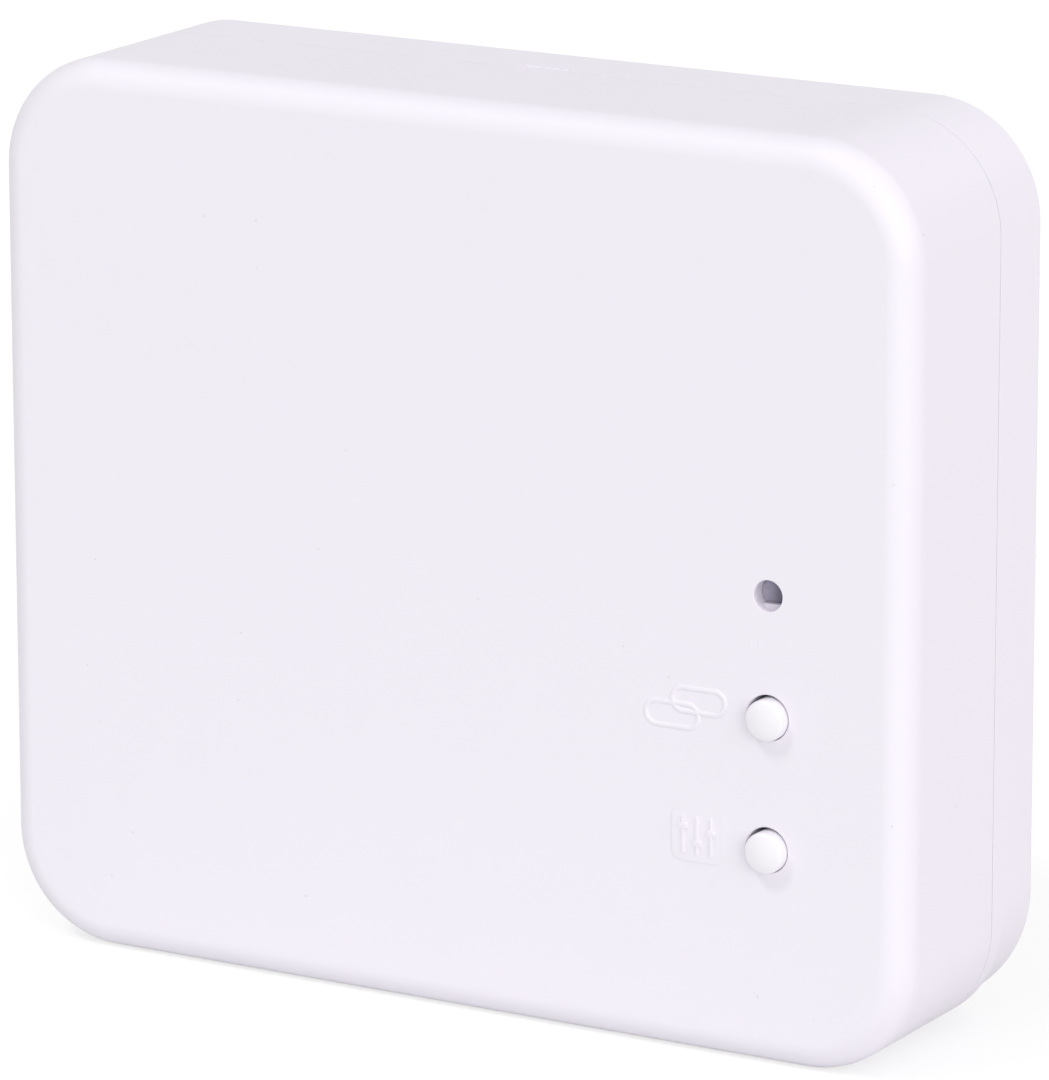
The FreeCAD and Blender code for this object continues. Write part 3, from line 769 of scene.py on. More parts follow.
cuts = [rounded_box("cable_opening", *span(cable_middle, *cable_half, floor_top - mm, mm), cable_corner),
        bar("notch", notch_middle, notch_half, shoulder, notch_near, cover_high.z - notch_deep,
            cover_high.z + mm)]
for places, start, finish in ((post_places, post_end, post_pilot_end),
                              (clamp_post_places, clamp_post_end, clamp_pilot_end)):
    cuts += [drilled("pilot", place, pilot, finish, start - mm, few_steps) for place in places]
for side in (-1, 1):
    slot_way = span(Vector((side * slot_x, 0, slot_z)), *slot_half, pad_end - mm, mm)
    cuts.append(rounded_box("wall_slot", *slot_way, slot_round))
    for side_z in (-1, 1):
        cuts.append(bar("mould_window", side * hook_x, arm_half, floor_top - mm, mm, side_z * arm_outer,
                        side_z * (arm_outer + arm_bump)))
    middle, levels = side * score_x, (cover_low.z - mm, cover_low.z + score_deep)
    for leg in (-1, 1):
        cuts.append(bar("score", middle + leg * score_half, score_width / 2, shoulder, score_end, *levels))
    cuts.append(bar("score", middle, score_half, score_end - score_width, score_end, *levels))
cut(base, *cuts)
fit(base, white_case, "rear_base")


# Push-buttons
# Two small domed buttons of glossier white ABS, turned round a stem. A flange behind the cover's
# sleeve keeps each one in, its stem presses the switch on the board, and it hangs in its hole's play.
stem_radius = 1.5 * mm
flange_radius = 3.2 * mm
flange_end = -21.35 * mm
flange_foot = flange_end + 1.0 * mm
shaft_radius = 2.0 * mm
edge_round = 0.5 * mm
edge_break = 0.12 * mm
dome_tilt = 20.0
dome_steps = 8
dome_top = 0.03 * mm
button_play = (0.15 * mm, 0, -0.07 * mm)
button_colour = (0.885, 0.862, 0.912)
button_tint = (0.878, 0.857, 0.908)


def push_button(name, low, high):
    """Button turned from its stem to the tip of its dome."""
    tip, foot = low.y, high.y
    tilts = [radians(dome_tilt * (dome_steps - step) / dome_steps) for step in range(dome_steps)]
    ball = (shaft_radius - edge_round * (1 - sin(tilts[0]))) / sin(tilts[0])
    cap = [(ball * sin(tilt), tip + ball * (1 - cos(tilt))) for tilt in tilts]
    middle = cap[0][1] + edge_round * cos(tilts[0])
    edge = arc(shaft_radius - edge_round, middle, edge_round, 90 - dome_tilt, dome_steps)[:-1]
    piece = turned(name, (low + high) / 2, [
        (stem_radius - edge_break, foot), (stem_radius, foot - edge_break), (stem_radius, flange_foot),
        (flange_radius - edge_break, flange_foot), (flange_radius, flange_foot - edge_break),
        (flange_radius, flange_end + edge_break), (flange_radius - edge_break, flange_end),
        (shaft_radius, flange_end), *edge, *cap, (dome_top, tip)])
    with shaping(piece, whole=True):
        bpy.ops.transform.translate(value=button_play)
    return piece


white_button = satin_plastic("white_button", button_colour, button_tint, 0.3, depth=0.0015 * mm)
for name, node in (("pairing_dome", "pairing_button"), ("manual_dome", "manual_button")):
    fit(push_button(name, *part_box(node)), white_button, node, node)


# Light guide
# A rod of smoked polycarbonate from just over the lamp to the small hole in the front, held in the
# cover's socket. Its nose in the hole is cut flat below, which keeps the rod from turning.
guide_radius = 1.8 * mm
guide_break = 0.15 * mm
nose_break = 0.05 * mm
nose_radius = 1.47 * mm
nose_flat = 0.96 * mm
# Painted light and shade on the smoked rod: a pale lit tone on its left, running to a dark shaded one on
# its right.
smoke_painted_lit = (0.46, 0.43, 0.54)
smoke_painted_shade = (0.085, 0.065, 0.13)
guide = turned("guide_rod", light_centre, [
    (guide_radius - guide_break, guide_high.y), (guide_radius, guide_high.y - guide_break),
    (guide_radius, inner_front), (nose_radius, inner_front), (nose_radius, guide_low.y + nose_break),
    (nose_radius - nose_break, guide_low.y)])
below = light_centre.z - nose_flat
cut(guide, bar("flat", light_centre.x, guide_radius, guide_low.y - mm, inner_front, below - guide_radius,
               below))
clear_guide, graph, place = new_material("clear_guide")
haze = noise(graph, place, 900.0)
across = graph.node("ShaderNodeSeparateXYZ", {}, {"Vector": place}, "X")
# Painted shade ramp across X, from the pale tone at the left of the nose to the dark one at its right.
depth = graph.node("ShaderNodeMapRange", {"interpolation_type": "SMOOTHSTEP"}, {
    "Value": across, "From Min": light_centre.x - nose_radius,
    "From Max": light_centre.x + 0.8 * nose_radius})
shaded(graph, {"Base Color": coat(graph, depth, smoke_painted_lit, smoke_painted_shade), "Roughness": haze * 0.1 + 0.22,
               "IOR": 1.58, "Transmission Weight": 0.1})
fit(guide, clear_guide, "light_guide")


# Circuit board
# Glass laminate under green solder resist, cut out round the wall slots and milled between the
# contact and the rest. The copper tracks show through the resist, and its cut edges are bare.
board_low, board_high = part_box("circuit_board")
board_face = board_low.y
board_skin = 0.03 * mm
track_pitch = 0.9 * mm
track_gap = 0.5 * mm
track_patches = 85.0
track_share = 0.72
via_density = 260.0
via_size = 0.07
copper_relief = 0.03 * mm
resist_green = (0.022, 0.125, 0.06)
track_green = (0.045, 0.215, 0.10)
bare_laminate = (0.52, 0.48, 0.30)
tinned = (0.72, 0.71, 0.69)


def axes_of(graph, place):
    """The X, Y and Z of a place, as three values."""
    parts = graph.node("ShaderNodeSeparateXYZ", {}, {"Vector": place})
    return [Value(graph, output) for output in parts.socket.node.outputs]


def between(value, low, high):
    """One where a value lies between two limits."""
    return (value > low) * (value < high)


board_green, graph, place = new_material("solder_resist")
x, y, z = axes_of(graph, place)
plan = graph.node("ShaderNodeCombineXYZ", {}, {"X": x, "Y": z})
patches = graph.node("ShaderNodeTexVoronoi", {"voronoi_dimensions": "2D", "distance": "CHEBYCHEV"},
                     {"Vector": plan, "Scale": track_patches}, "Color")
chance, turn = axes_of(graph, patches)[:2]
across = z + (turn > 0.5) * (x - z)
tracks = (across.maths("PINGPONG", track_pitch) > track_gap) * (chance < track_share)
vias = graph.node("ShaderNodeTexVoronoi", {"voronoi_dimensions": "2D"},
                  {"Vector": plan, "Scale": via_density}, "Distance") < via_size
cut_edge = between(y, board_low.y + board_skin, board_high.y - board_skin)
colour = coat(graph, tracks, resist_green, track_green)
colour = coat(graph, vias, colour, tinned)
colour = coat(graph, cut_edge, colour, bare_laminate)
rough = noise(graph, place, 400.0) * 0.12 + cut_edge * 0.3 + 0.24
shaded(graph, {"Base Color": colour, "Metallic": vias * (1 - cut_edge), "Roughness": rough,
               "Normal": relief(graph, tracks, copper_relief, 0.6)})
dress(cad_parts["circuit_board"], board_green)


# Board screws
# Four zinc-plated pan-head screws with a cross recess. They hold the board on the posts of the base,
# where their threads cut their own way into the pilot holes.
screw_radius = 1.1 * mm
core_radius = 0.82 * mm
point_radius = 0.35 * core_radius
point_length = 0.5 * mm
thread_pitch = 0.9 * mm
thread_crest = 0.3
thread_foot = 0.6
thread_margin = 0.6 * mm
screw_head_radius = 2.5 * mm
screw_head_height = 1.6 * mm
head_edge = 0.85 * mm
head_skirt = 0.1 * mm
board_screw_length = 5.0 * mm
cross_width = 0.62 * mm
cross_reach = 1.45 * mm
cross_deep = 0.95 * mm
cross_taper = 0.55


def slot_cutter(name, middle, top, half_x, half_z, deep, taper=1.0):
    """Cutter of a slot in a round top, narrower at its foot by a taper."""
    cutter = block(name, middle, half_x, half_z, top - mm, top + deep)
    narrow(cutter, middle, top + deep, taper, taper)
    return cutter


def cross_cutters(name, middle, top, half_width, reach, deep, taper=1.0):
    """Cutters of two crossed slots in a round top."""
    return [slot_cutter(name, middle, top, *halves, deep, taper)
            for halves in ((half_width, reach), (reach, half_width))]


def cross_screw(name, middle, seat, length):
    """Self-cutting screw from its point to the crown of its head."""
    tip, crown = seat + length, seat - screw_head_height
    profile = [(point_radius, tip)]
    for turn in range(int((length - thread_margin) / thread_pitch)):
        place = tip - point_length - turn * thread_pitch
        profile += [(core_radius, place), (screw_radius, place - thread_crest * thread_pitch),
                    (core_radius, place - thread_foot * thread_pitch)]
    profile += [(core_radius, seat), (screw_head_radius - head_skirt, seat)]
    profile += arc(screw_head_radius - head_edge, crown + head_edge, head_edge)
    screw = turned(name, middle, profile, few_steps)
    recess = cross_cutters("recess", middle, crown, cross_width / 2, cross_reach, cross_deep, cross_taper)
    cut(screw, *recess)
    return screw


def copied(piece, shift, name=None):
    """A copy of a piece, with its own mesh, further along."""
    only(piece)
    bpy.ops.object.duplicate()
    copy = bpy.context.object
    bpy.ops.transform.translate(value=shift)
    bpy.ops.object.transform_apply(location=True, rotation=False, scale=False)
    return named(copy, name) if name else copy


def repeated(name, piece, places):
    """A piece modelled at the first of some places, with its copies at the others, as one."""
    copies = [copied(piece, place - places[0]) for place in places[1:]]
    return named(joined([piece] + copies), name)


def mottled(graph, place, scale, colour, tint, detail=2.0):
    """A fine pattern, and two close colours mixed by it."""
    grain = noise(graph, place, scale, detail)
    return grain, coat(graph, grain, colour, tint)


def plated_metal(name, colour, shade, roughness, streaks=(1, 1, 1), scale=900.0):
    """Plated metal: two close tones in fine streaks or grains, rougher where it is darker."""
    material, graph, place = new_material(name)
    drawn = graph.node("ShaderNodeMapping", {}, {"Vector": place, "Scale": streaks})
    grain, tone = mottled(graph, drawn, scale, colour, shade, 3.0)
    shaded(graph, {"Base Color": tone, "Metallic": 1.0, "Roughness": grain * 0.14 + (roughness - 0.07),
                   "Normal": relief(graph, grain, 0.004 * mm, 0.8)})
    return material


zinc_plate = plated_metal("zinc_plate", (0.74, 0.74, 0.77), (0.58, 0.60, 0.64), 0.32)
board_screw = cross_screw("board_screw", post_places[0], board_face, board_screw_length)
fit(repeated("board_screw_set", board_screw, post_places), zinc_plate, "board_screws")


# Status lamp
# A lamp of milky resin with a flange and a domed top, on a square foot. It stands under the light
# guide, which carries its light to the hole in the front.
lamp_low, lamp_high, lamp_centre = placed("status_lamp")
lamp_radius = 1.5 * mm
lamp_foot_end = board_face - 1.0 * mm
lamp_foot_corner = 0.3 * mm
lamp_foot_edge = 0.15 * mm
lens_root = 0.3 * mm
lens_steps = 48
lens_turn = 88
lens_rings = 14
flange_outside = 1.75 * mm
flange_top = lamp_foot_end - 0.7 * mm
flange_break = 0.1 * mm
lamp = rounded_box("lamp_lens", (lamp_low.x, lamp_foot_end, lamp_low.z),
                   (lamp_high.x, board_face, lamp_high.z), lamp_foot_corner, steps=4,
                   edge=lamp_foot_edge, edge_steps=3)
lens = turned("lens", lamp_centre, [
    (flange_outside, lamp_foot_end + lens_root), (flange_outside, flange_top + flange_break),
    (flange_outside - flange_break, flange_top), (lamp_radius, flange_top)]
    + arc(0, lamp_low.y + lamp_radius, lamp_radius, lens_turn, lens_rings), lens_steps)
add(lamp, lens)
milky_resin, graph, place = new_material("milky_resin")
haze, tone = mottled(graph, place, 700.0, (0.86, 0.87, 0.85), (0.80, 0.82, 0.80))
shaded(graph, {"Base Color": tone, "Roughness": haze * 0.15 + 0.2, "IOR": 1.53,
               "Transmission Weight": 0.35})
fit(lamp, milky_resin, "status_lamp")


# Push switches
# Two key switches of black nylon: a square body with a raised cover held by four rivets, and a
# round plunger that the button's stem pushes in.
switch_low, switch_high, switch_centre = placed("manual_switch")
switch_half = (switch_high.x - switch_low.x) / 2
switch_rise = Vector((0, 0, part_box("pairing_switch")[0].z - switch_low.z))
switch_corner = 0.35 * mm
switch_edge = 0.15 * mm
key_cover_inset = 0.35 * mm
key_cover_height = 0.45 * mm
key_cover_root = 0.2 * mm
key_cover_corner = 0.6 * mm
key_cover_edge = 0.1 * mm
rivet_radius = 0.42 * mm
rivet_height = 0.18 * mm
rivet_inset = 1.05 * mm
rivet_steps = 24
rivet_root = 0.1 * mm
rivet_edge = 0.04 * mm
rivet_crown = 0.6
well_radius = 1.78 * mm
well_bottom = -9.7 * mm
plunger_low, plunger_high, plunger_centre = placed("manual_switch_plunger")
plunger_radius = 1.7 * mm
plunger_round = 0.25 * mm
plunger_break = 0.1 * mm
key_cover_top = switch_low.y + rivet_height
key_cover_foot = key_cover_top + key_cover_height
key = rounded_box("manual_key", *span(switch_centre, switch_half, switch_half, key_cover_foot, board_face),
                  switch_corner, steps=4, edge=switch_edge, edge_steps=3)
cover_half = switch_half - key_cover_inset
key_cover = rounded_box("key_cover", *span(switch_centre, cover_half, cover_half, key_cover_top,
                                           key_cover_foot + key_cover_root),
                        key_cover_corner, steps=5, edge=key_cover_edge, edge_steps=2)
additions = [key_cover]
rivet_reach = switch_half - rivet_inset
for side_x, side_z in product((-1, 1), repeat=2):
    rivet_place = switch_centre + Vector((side_x * rivet_reach, 0, side_z * rivet_reach))
    additions.append(turned("rivet", rivet_place, [
        (rivet_radius, key_cover_top + rivet_root), (rivet_radius, key_cover_top - rivet_edge),
        (rivet_crown * rivet_radius, switch_low.y)], rivet_steps))
add(key, *additions)
cut(key, drilled("well", switch_centre, well_radius, well_bottom, switch_low.y - mm, lens_steps))
pairing_key = copied(key, switch_rise, "pairing_key")
plunger = turned("manual_key_plunger", plunger_centre, [
    (plunger_radius - plunger_break, plunger_high.y), (plunger_radius, plunger_high.y - plunger_break),
    *arc(plunger_radius - plunger_round, plunger_low.y + plunger_round, plunger_round)],
    lens_steps)
pairing_plunger = copied(plunger, switch_rise, "pairing_key_plunger")
black_nylon = satin_plastic("black_nylon", (0.045, 0.045, 0.05), (0.032, 0.032, 0.036), 0.45)
dark_nylon = satin_plastic("dark_nylon", (0.036, 0.036, 0.04), (0.028, 0.028, 0.031), 0.38)
fit(key, black_nylon, "manual_switch")
fit(pairing_key, black_nylon, "pairing_switch")
fit(plunger, dark_nylon, "manual_switch_plunger", "manual_plunger")
fit(pairing_plunger, dark_nylon, "pairing_switch_plunger", "pairing_plunger")


# Power module
# The sealed mains converter: a black moulded case with rounded edges, a sunk panel on top and a
# step round its foot, potted with resin from below.
def moulded_case(name, low, high, corner, edge, foot=0.0, step=0.0, margin=0.0, slope=0.0, drop=0.0):
    """Case of a part on the board: rounded all over, with an optional stepped foot and sunk panel."""
    middle = (low + high) / 2
    half_x, half_z = (high.x - low.x) / 2 - step, (high.z - low.z) / 2 - step
    case = rounded_box(name, *span(middle, half_x, half_z, low.y, high.y), corner, steps=6, edge=edge,
                       edge_steps=4)
    if drop:
        half_x, half_z = half_x - margin, half_z - margin
        panel = rounded_box("panel", *span(middle, half_x, half_z, low.y - drop, low.y + drop), corner,
                            steps=6)
        narrow(panel, middle, low.y + drop, 1 - slope / half_x, 1 - slope / half_z)
        cut(case, panel)
    if foot:
        plinth = rounded_box("plinth", (low.x, high.y - foot, low.z), high, corner + step, steps=6)
        add(case, plinth)
    return case


module = moulded_case("converter_case", *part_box("power_module"), corner=1.0 * mm, edge=0.5 * mm,
                      foot=1.2 * mm, step=0.25 * mm, margin=1.6 * mm, slope=0.3 * mm, drop=0.35 * mm)
potted_case = satin_plastic("potted_case", (0.052, 0.052, 0.058), (0.038, 0.038, 0.042), 0.5, cloud=90,
                            grain=1600, depth=0.012 * mm)
fit(module, potted_case, "power_module")


# Relay
# The heating contact in a blue moulded cap on a plinth. A small nib near one corner of its top is
# the vent that is cut open after soldering.
relay_low, relay_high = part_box("relay")
nib_inset = 3.2 * mm
nib_radius = 0.8 * mm
nib_break = 0.1 * mm
nib_root = 0.5 * mm
nib_top = 0.02 * mm
relay = moulded_case("relay_cap", relay_low, relay_high, corner=0.6 * mm, edge=0.45 * mm, foot=1.4 * mm,
                     step=0.2 * mm, margin=1.2 * mm, slope=0.25 * mm, drop=0.3 * mm)
nib_place = Vector((relay_low.x + nib_inset, 0, relay_high.z - nib_inset))
nib = turned("nib", nib_place, [
    (nib_radius, relay_low.y + nib_root), (nib_radius, relay_low.y + nib_top + nib_break),
    (nib_radius - nib_break, relay_low.y + nib_top)], few_steps)
add(relay, nib)
blue_cap = satin_plastic("blue_cap", (0.055, 0.19, 0.50), (0.045, 0.165, 0.45), 0.3, cloud=70, grain=2200,
                         depth=0.003 * mm)
fit(relay, blue_cap, "relay")


# Screw terminals
# Green polyamide blocks along the lower edge of the board, two poles for the mains and three for the
# contact. Each pole has a pocket for its cage, open to the wire, and a well for its screw.
mains_low, mains_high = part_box("mains_terminal")
contact_low, contact_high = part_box("relay_terminal")
pole_pitch = 7.62 * mm
front_chamfer = 2.4 * mm
terminal_edge = 0.25 * mm
pocket_side = 5.6 * mm
pocket_depth = 8.6 * mm
pocket_corner = 0.2 * mm
pocket_low = board_face - 2.0 * mm
cage_setback = 1.0 * mm
cage_length = 7.0 * mm
screw_row = mains_low.z + cage_setback + cage_length / 2
screw_well = 1.9 * mm
well_root = 0.5 * mm
well_rim = 0.3 * mm
groove_half = 0.3 * mm
groove_deep = 0.5 * mm


def poles_of(low, high):
    """X of the middle of each pole of a block."""
    poles = round((high.x - low.x) / pole_pitch)
    return [(low.x + high.x) / 2 + (pole - (poles - 1) / 2) * pole_pitch for pole in range(poles)]


def terminal_block(name, low, high):
    """Block with its chamfered top, a groove between its poles, and each pole's pocket and well."""
    moulding = box_between(name, low, high)
    soften(moulding, lambda place: near(place.y, low.y) and near(place.z, low.z), front_chamfer,
           steps=1)
    soften(moulding, at_y(low.y), terminal_edge, steps=2)
    cuts = []
    poles = poles_of(low, high)
    for pole in poles:
        half = pocket_side / 2
        cuts.append(rounded_box("pocket", (pole - half, pocket_low - pocket_side, low.z - mm),
                                (pole + half, pocket_low, low.z + pocket_depth), pocket_corner,
                                steps=2))
        cuts.append(turned("well", Vector((pole, 0, screw_row)), [
            (screw_well, pocket_low - pocket_side + well_root), (screw_well, low.y + well_rim),
            (screw_well + well_rim, low.y), (screw_well + well_rim, low.y - mm)], lens_steps))
    for first, second in zip(poles, poles[1:]):
        for end, top in ((high.y + mm, low.z + groove_deep), (low.y + groove_deep, high.z + mm)):
            cuts.append(bar("groove", (first + second) / 2, groove_half, low.y - mm, end, low.z - mm, top))
    cut(moulding, *cuts)
    return moulding


green_polyamide = satin_plastic("green_polyamide", (0.10, 0.37, 0.18), (0.085, 0.33, 0.16), 0.42, cloud=80,
                                grain=1900, depth=0.006 * mm)
for name, node in (("mains_block", "mains_terminal"), ("contact_block", "relay_terminal")):
    fit(terminal_block(name, *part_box(node)), green_polyamide, node)


# Terminal cages and their screws
# In each pole a nickel-plated brass cage grips the wire, and a zinc-plated screw without a head is
# threaded through its top.
cage_clearance = 0.1 * mm
cage_wall = 0.8 * mm
cage_edge = 0.25 * mm
wire_screw_radius = 1.5 * mm
wire_screw_core = 1.25 * mm
wire_screw_length = 5.0 * mm
wire_screw_reach = 1.2 * mm
wire_screw_break = 0.2 * mm
wire_screw_neck = 0.35 * mm
wire_thread_start = 0.3 * mm
wire_thread_crest = 0.35
screw_way_slack = 0.2 * mm
wire_slot_reach = 1.2 * wire_screw_radius
wire_slot_half = 0.25 * mm
wire_slot_deep = 0.9 * mm
pole_places = [Vector((pole, 0, screw_row))
               for pole in poles_of(mains_low, mains_high) + poles_of(contact_low, contact_high)]
first_pole = pole_places[0]
cage_half = pocket_side / 2 - cage_clearance
cage_top = pocket_low - 2 * cage_half
cage = block("cage", first_pole, cage_half, cage_length / 2, cage_top, pocket_low)
soften(cage, anywhere, cage_edge, steps=3)
bore_half, bore_top = cage_half - cage_wall, cage_top + cage_wall
bore = block("bore", first_pole, bore_half, cage_length, bore_top, pocket_low - cage_wall)
screw_way = drilled("screw_way", first_pole, wire_screw_radius, bore_top + screw_way_slack,
                    cage_top - mm, few_steps)
cut(cage, bore, screw_way)
nickel_plate = plated_metal("nickel_plate", (0.74, 0.70, 0.60), (0.64, 0.60, 0.50), 0.3)
fit(repeated("cage_set", cage, pole_places), nickel_plate, "terminal_cages")

screw_end = bore_top + wire_screw_reach
screw_top = screw_end - wire_screw_length
profile = [(wire_screw_core, screw_end)]
for turn in range(int(wire_screw_length / thread_pitch) - 1):
    start = screw_end - wire_thread_start - turn * thread_pitch
    profile += [(wire_screw_radius, start - wire_thread_crest * thread_pitch),
                (wire_screw_core, start - 2 * wire_thread_crest * thread_pitch)]
profile += [(wire_screw_radius, screw_top + wire_screw_neck),
            (wire_screw_radius, screw_top + wire_screw_break),
            (wire_screw_radius - wire_screw_break, screw_top)]
wire_screw = turned("wire_screw", first_pole, profile, few_steps)
cut(wire_screw, slot_cutter("slot", first_pole, screw_top, wire_slot_reach, wire_slot_half,
                            wire_slot_deep))
fit(repeated("wire_screw_set", wire_screw, pole_places), zinc_plate, "terminal_screws")


# Fuse
# A radial fuse: a thin wire between two pins, closed in a small box moulded of brown plastic. It
# stands on the board beside the mains terminal and is soldered from behind.
brown_cap = satin_plastic("brown_cap", (0.22, 0.11, 0.065), (0.18, 0.09, 0.055), 0.35, cloud=90, grain=2200,
                          depth=0.003 * mm)
fuse = moulded_case("fuse_cap", *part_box("fuse"), corner=1.0 * mm, edge=0.4 * mm, foot=0.5 * mm,
                    step=0.15 * mm)
fit(fuse, brown_cap, "fuse")


# Varistor
# A disc of zinc oxide dipped in blue epoxy, which has run a little way down its two tinned leads.
# It stands on edge on the board, held by those leads.
varistor_low, varistor_high, disc_centre = placed("varistor")
disc_radius = (varistor_high.z - varistor_low.z) / 2
disc_half = (varistor_high.x - varistor_low.x) / 2
disc_round = 1.4 * mm
disc_steps = 72
disc_turn = 75
disc_centre.y = varistor_low.y + disc_radius
lead_reach = 2.5 * mm
lead_radius = 0.35 * mm
lead_steps = 24
run_radius = 0.75 * mm
run_end = board_face - 0.9 * mm
run_slope = 0.5 * mm
run_ragged = 0.15 * mm
disc_rim = arc(disc_radius - disc_round, disc_centre.y - disc_half + disc_round, disc_round, disc_turn)
disc_back = [(radius, 2 * disc_centre.y - place) for radius, place in reversed(disc_rim)]
varistor = turned("dipped_disc", disc_centre, disc_back + disc_rim, disc_steps)
with shaping(varistor, whole=True):
    bpy.ops.transform.rotate(value=pi / 2, orient_axis="Z", center_override=disc_centre)
leads = [turned("lead", disc_centre + Vector((0, 0, side * lead_reach)), [
    (lead_radius, board_face), (lead_radius, run_end), (run_radius, run_end - run_slope),
    (run_radius, disc_centre.y + disc_radius / 2)], lead_steps) for side in (-1, 1)]
add(varistor, *leads)
dipped_epoxy, graph, place = new_material("dipped_epoxy")
wire = axes_of(graph, place)[1] > run_end - run_ragged
mottle, tone = mottled(graph, place, 350.0, (0.085, 0.235, 0.52), (0.06, 0.18, 0.43), 3.0)
shaded(graph, {"Base Color": coat(graph, wire, tone, tinned), "Metallic": wire,
               "Roughness": mottle * 0.12 + 0.2, "Normal": relief(graph, mottle, 0.05 * mm, 0.5)})
fit(varistor, dipped_epoxy, "varistor")


# Suppression capacitor
# A film capacitor in a yellow moulded box, which is filled with resin from below. The box stands on
# small feet at its corners, so that air passes under it.
film_low, film_high, film_centre = placed("suppression_capacitor")
film_half = (film_high - film_low) / 2
foot_top = board_face - 0.5 * mm
gap_x, gap_z = 1.2 * mm, 2.2 * mm
film_case = moulded_case("film_box", film_low, film_high, corner=0.6 * mm, edge=0.45 * mm)
gaps = [block("gap", film_centre, *halves, foot_top, board_face + mm) for halves in (
    (film_half.x - gap_x, film_half.z + mm), (film_half.x + mm, film_half.z - gap_z))]
cut(film_case, *gaps)
yellow_box = satin_plastic("yellow_box", (0.80, 0.60, 0.10), (0.75, 0.55, 0.085), 0.32, cloud=80,
                           grain=2200, depth=0.003 * mm)
fit(film_case, yellow_box, "suppression_capacitor")


# Smoothing capacitors
# Two aluminium cans in shrunk black sleeves. Each has a crimped groove above its rubber seal, and a
# bare top that is scored so that it can open under pressure.
cans_low, cans_high, cans_centre = placed("smoothing_capacitors")
can_radius = (cans_high.x - cans_low.x) / 2
can_places = [Vector((cans_centre.x, 0, z)) for z in (cans_high.z - can_radius, cans_low.z + can_radius)]
can_top = cans_low.y
can_round = 0.45 * mm
seal_inset = 0.35 * mm
sleeve_inset = 0.1 * mm
sleeve_lip = 0.85 * mm
seal_edge = 0.3 * mm
bare_slope = 0.1 * mm
bare_slack = 0.02 * mm
bare_depth = 1.0 * mm
bare_radius = can_radius - sleeve_lip
bare_top = can_top + 0.22 * mm
crimp = board_face - 1.9 * mm
crimp_half = 0.55 * mm
crimp_depth = 0.35 * mm
crimp_run = 0.3 * mm
score_reach = 2.2 * mm
score_line_half = 0.14 * mm
score_line_deep = 0.12 * mm
can = turned("can", can_places[0], [
    (can_radius - seal_inset, board_face), (can_radius - sleeve_inset, board_face - seal_edge),
    (can_radius - sleeve_inset, crimp + crimp_half), (can_radius - crimp_depth, crimp),
    (can_radius - sleeve_inset, crimp - crimp_half), (can_radius, crimp - crimp_half - crimp_run)]
    + arc(can_radius - can_round, can_top + can_round, can_round)
    + [(bare_radius, can_top), (bare_radius - bare_slope, bare_top)], disc_steps)
cut(can, *cross_cutters("score", can_places[0], bare_top, score_line_half, score_reach, score_line_deep))
sleeved_can, graph, place = new_material("sleeved_can")
x, y, z = axes_of(graph, place)
plan = graph.node("ShaderNodeCombineXYZ", {}, {"X": x, "Z": z})
first, second = (distance_to(graph, plan, can_place) < bare_radius - bare_slack for can_place in can_places)
bare = (y < bare_top + bare_depth) * (first + second)
brushed, tone = mottled(graph, place, 1200.0, (0.052, 0.052, 0.085), (0.04, 0.04, 0.07))
shaded(graph, {"Base Color": coat(graph, bare, tone, (0.78, 0.78, 0.80)), "Metallic": bare,
               "Roughness": brushed * 0.1 + bare * 0.06 + 0.24})
fit(repeated("can_pair", can, can_places), sleeved_can, "smoothing_capacitors")


# Radio module
# A small black board with gilt half holes along two edges, soldered flat to the main board. Its
# aerial is the folded track at its left end.
radio_low, radio_high, radio_centre = placed("radio_module")
shield_low, shield_high, shield_centre = placed("radio_shield")
radio_edge = 0.05 * mm
half_hole = 0.42 * mm
half_hole_pitch = 1.27 * mm
half_holes = 9
bite_steps = 20
pad_reach = half_hole + 0.25 * mm
pad_reach_along = half_hole + 0.08 * mm
aerial_right = shield_low.x - 1.0 * mm
aerial_margin = 0.9 * mm
aerial_pitch = 0.6 * mm
aerial_track = 0.22 * mm
gilt = (0.80, 0.62, 0.27)
radio_board = box_between("radio_plate", radio_low, radio_high)
soften(radio_board, at_y(radio_low.y), radio_edge, steps=1)
bites = []
for index, bite_z in product(range(half_holes), (radio_low.z, radio_high.z)):
    bite_x = shield_centre.x + (index - (half_holes - 1) / 2) * half_hole_pitch
    bites.append(drilled("bite", Vector((bite_x, 0, bite_z)), half_hole, radio_high.y + mm,
                         radio_low.y - mm, bite_steps))
cut(radio_board, *bites)
black_resist, graph, place = new_material("black_resist")
x, y, z = axes_of(graph, place)
beside = (z - radio_centre.z).maths("ABSOLUTE") > radio_high.z - radio_centre.z - pad_reach
along = (x - (shield_centre.x - half_hole_pitch / 2)).maths("PINGPONG", half_hole_pitch / 2)
pads = beside * (along > half_hole_pitch / 2 - pad_reach_along) * (
    (x - shield_centre.x).maths("ABSOLUTE") < half_holes / 2 * half_hole_pitch)
rungs = ((z - radio_low.z).maths("PINGPONG", aerial_pitch) < aerial_track) * between(
    x, radio_low.x + aerial_margin, aerial_right)
inside = between(z, radio_low.z + aerial_margin, radio_high.z - aerial_margin)
gilded = pads.maths("MAXIMUM", rungs * inside)
cloth, tone = mottled(graph, place, 500.0, (0.028, 0.034, 0.042), (0.02, 0.025, 0.032))
shaded(graph, {"Base Color": coat(graph, gilded, tone, gilt), "Metallic": gilded,
               "Roughness": cloth * 0.1 + 0.27})
fit(radio_board, black_resist, "radio_module")


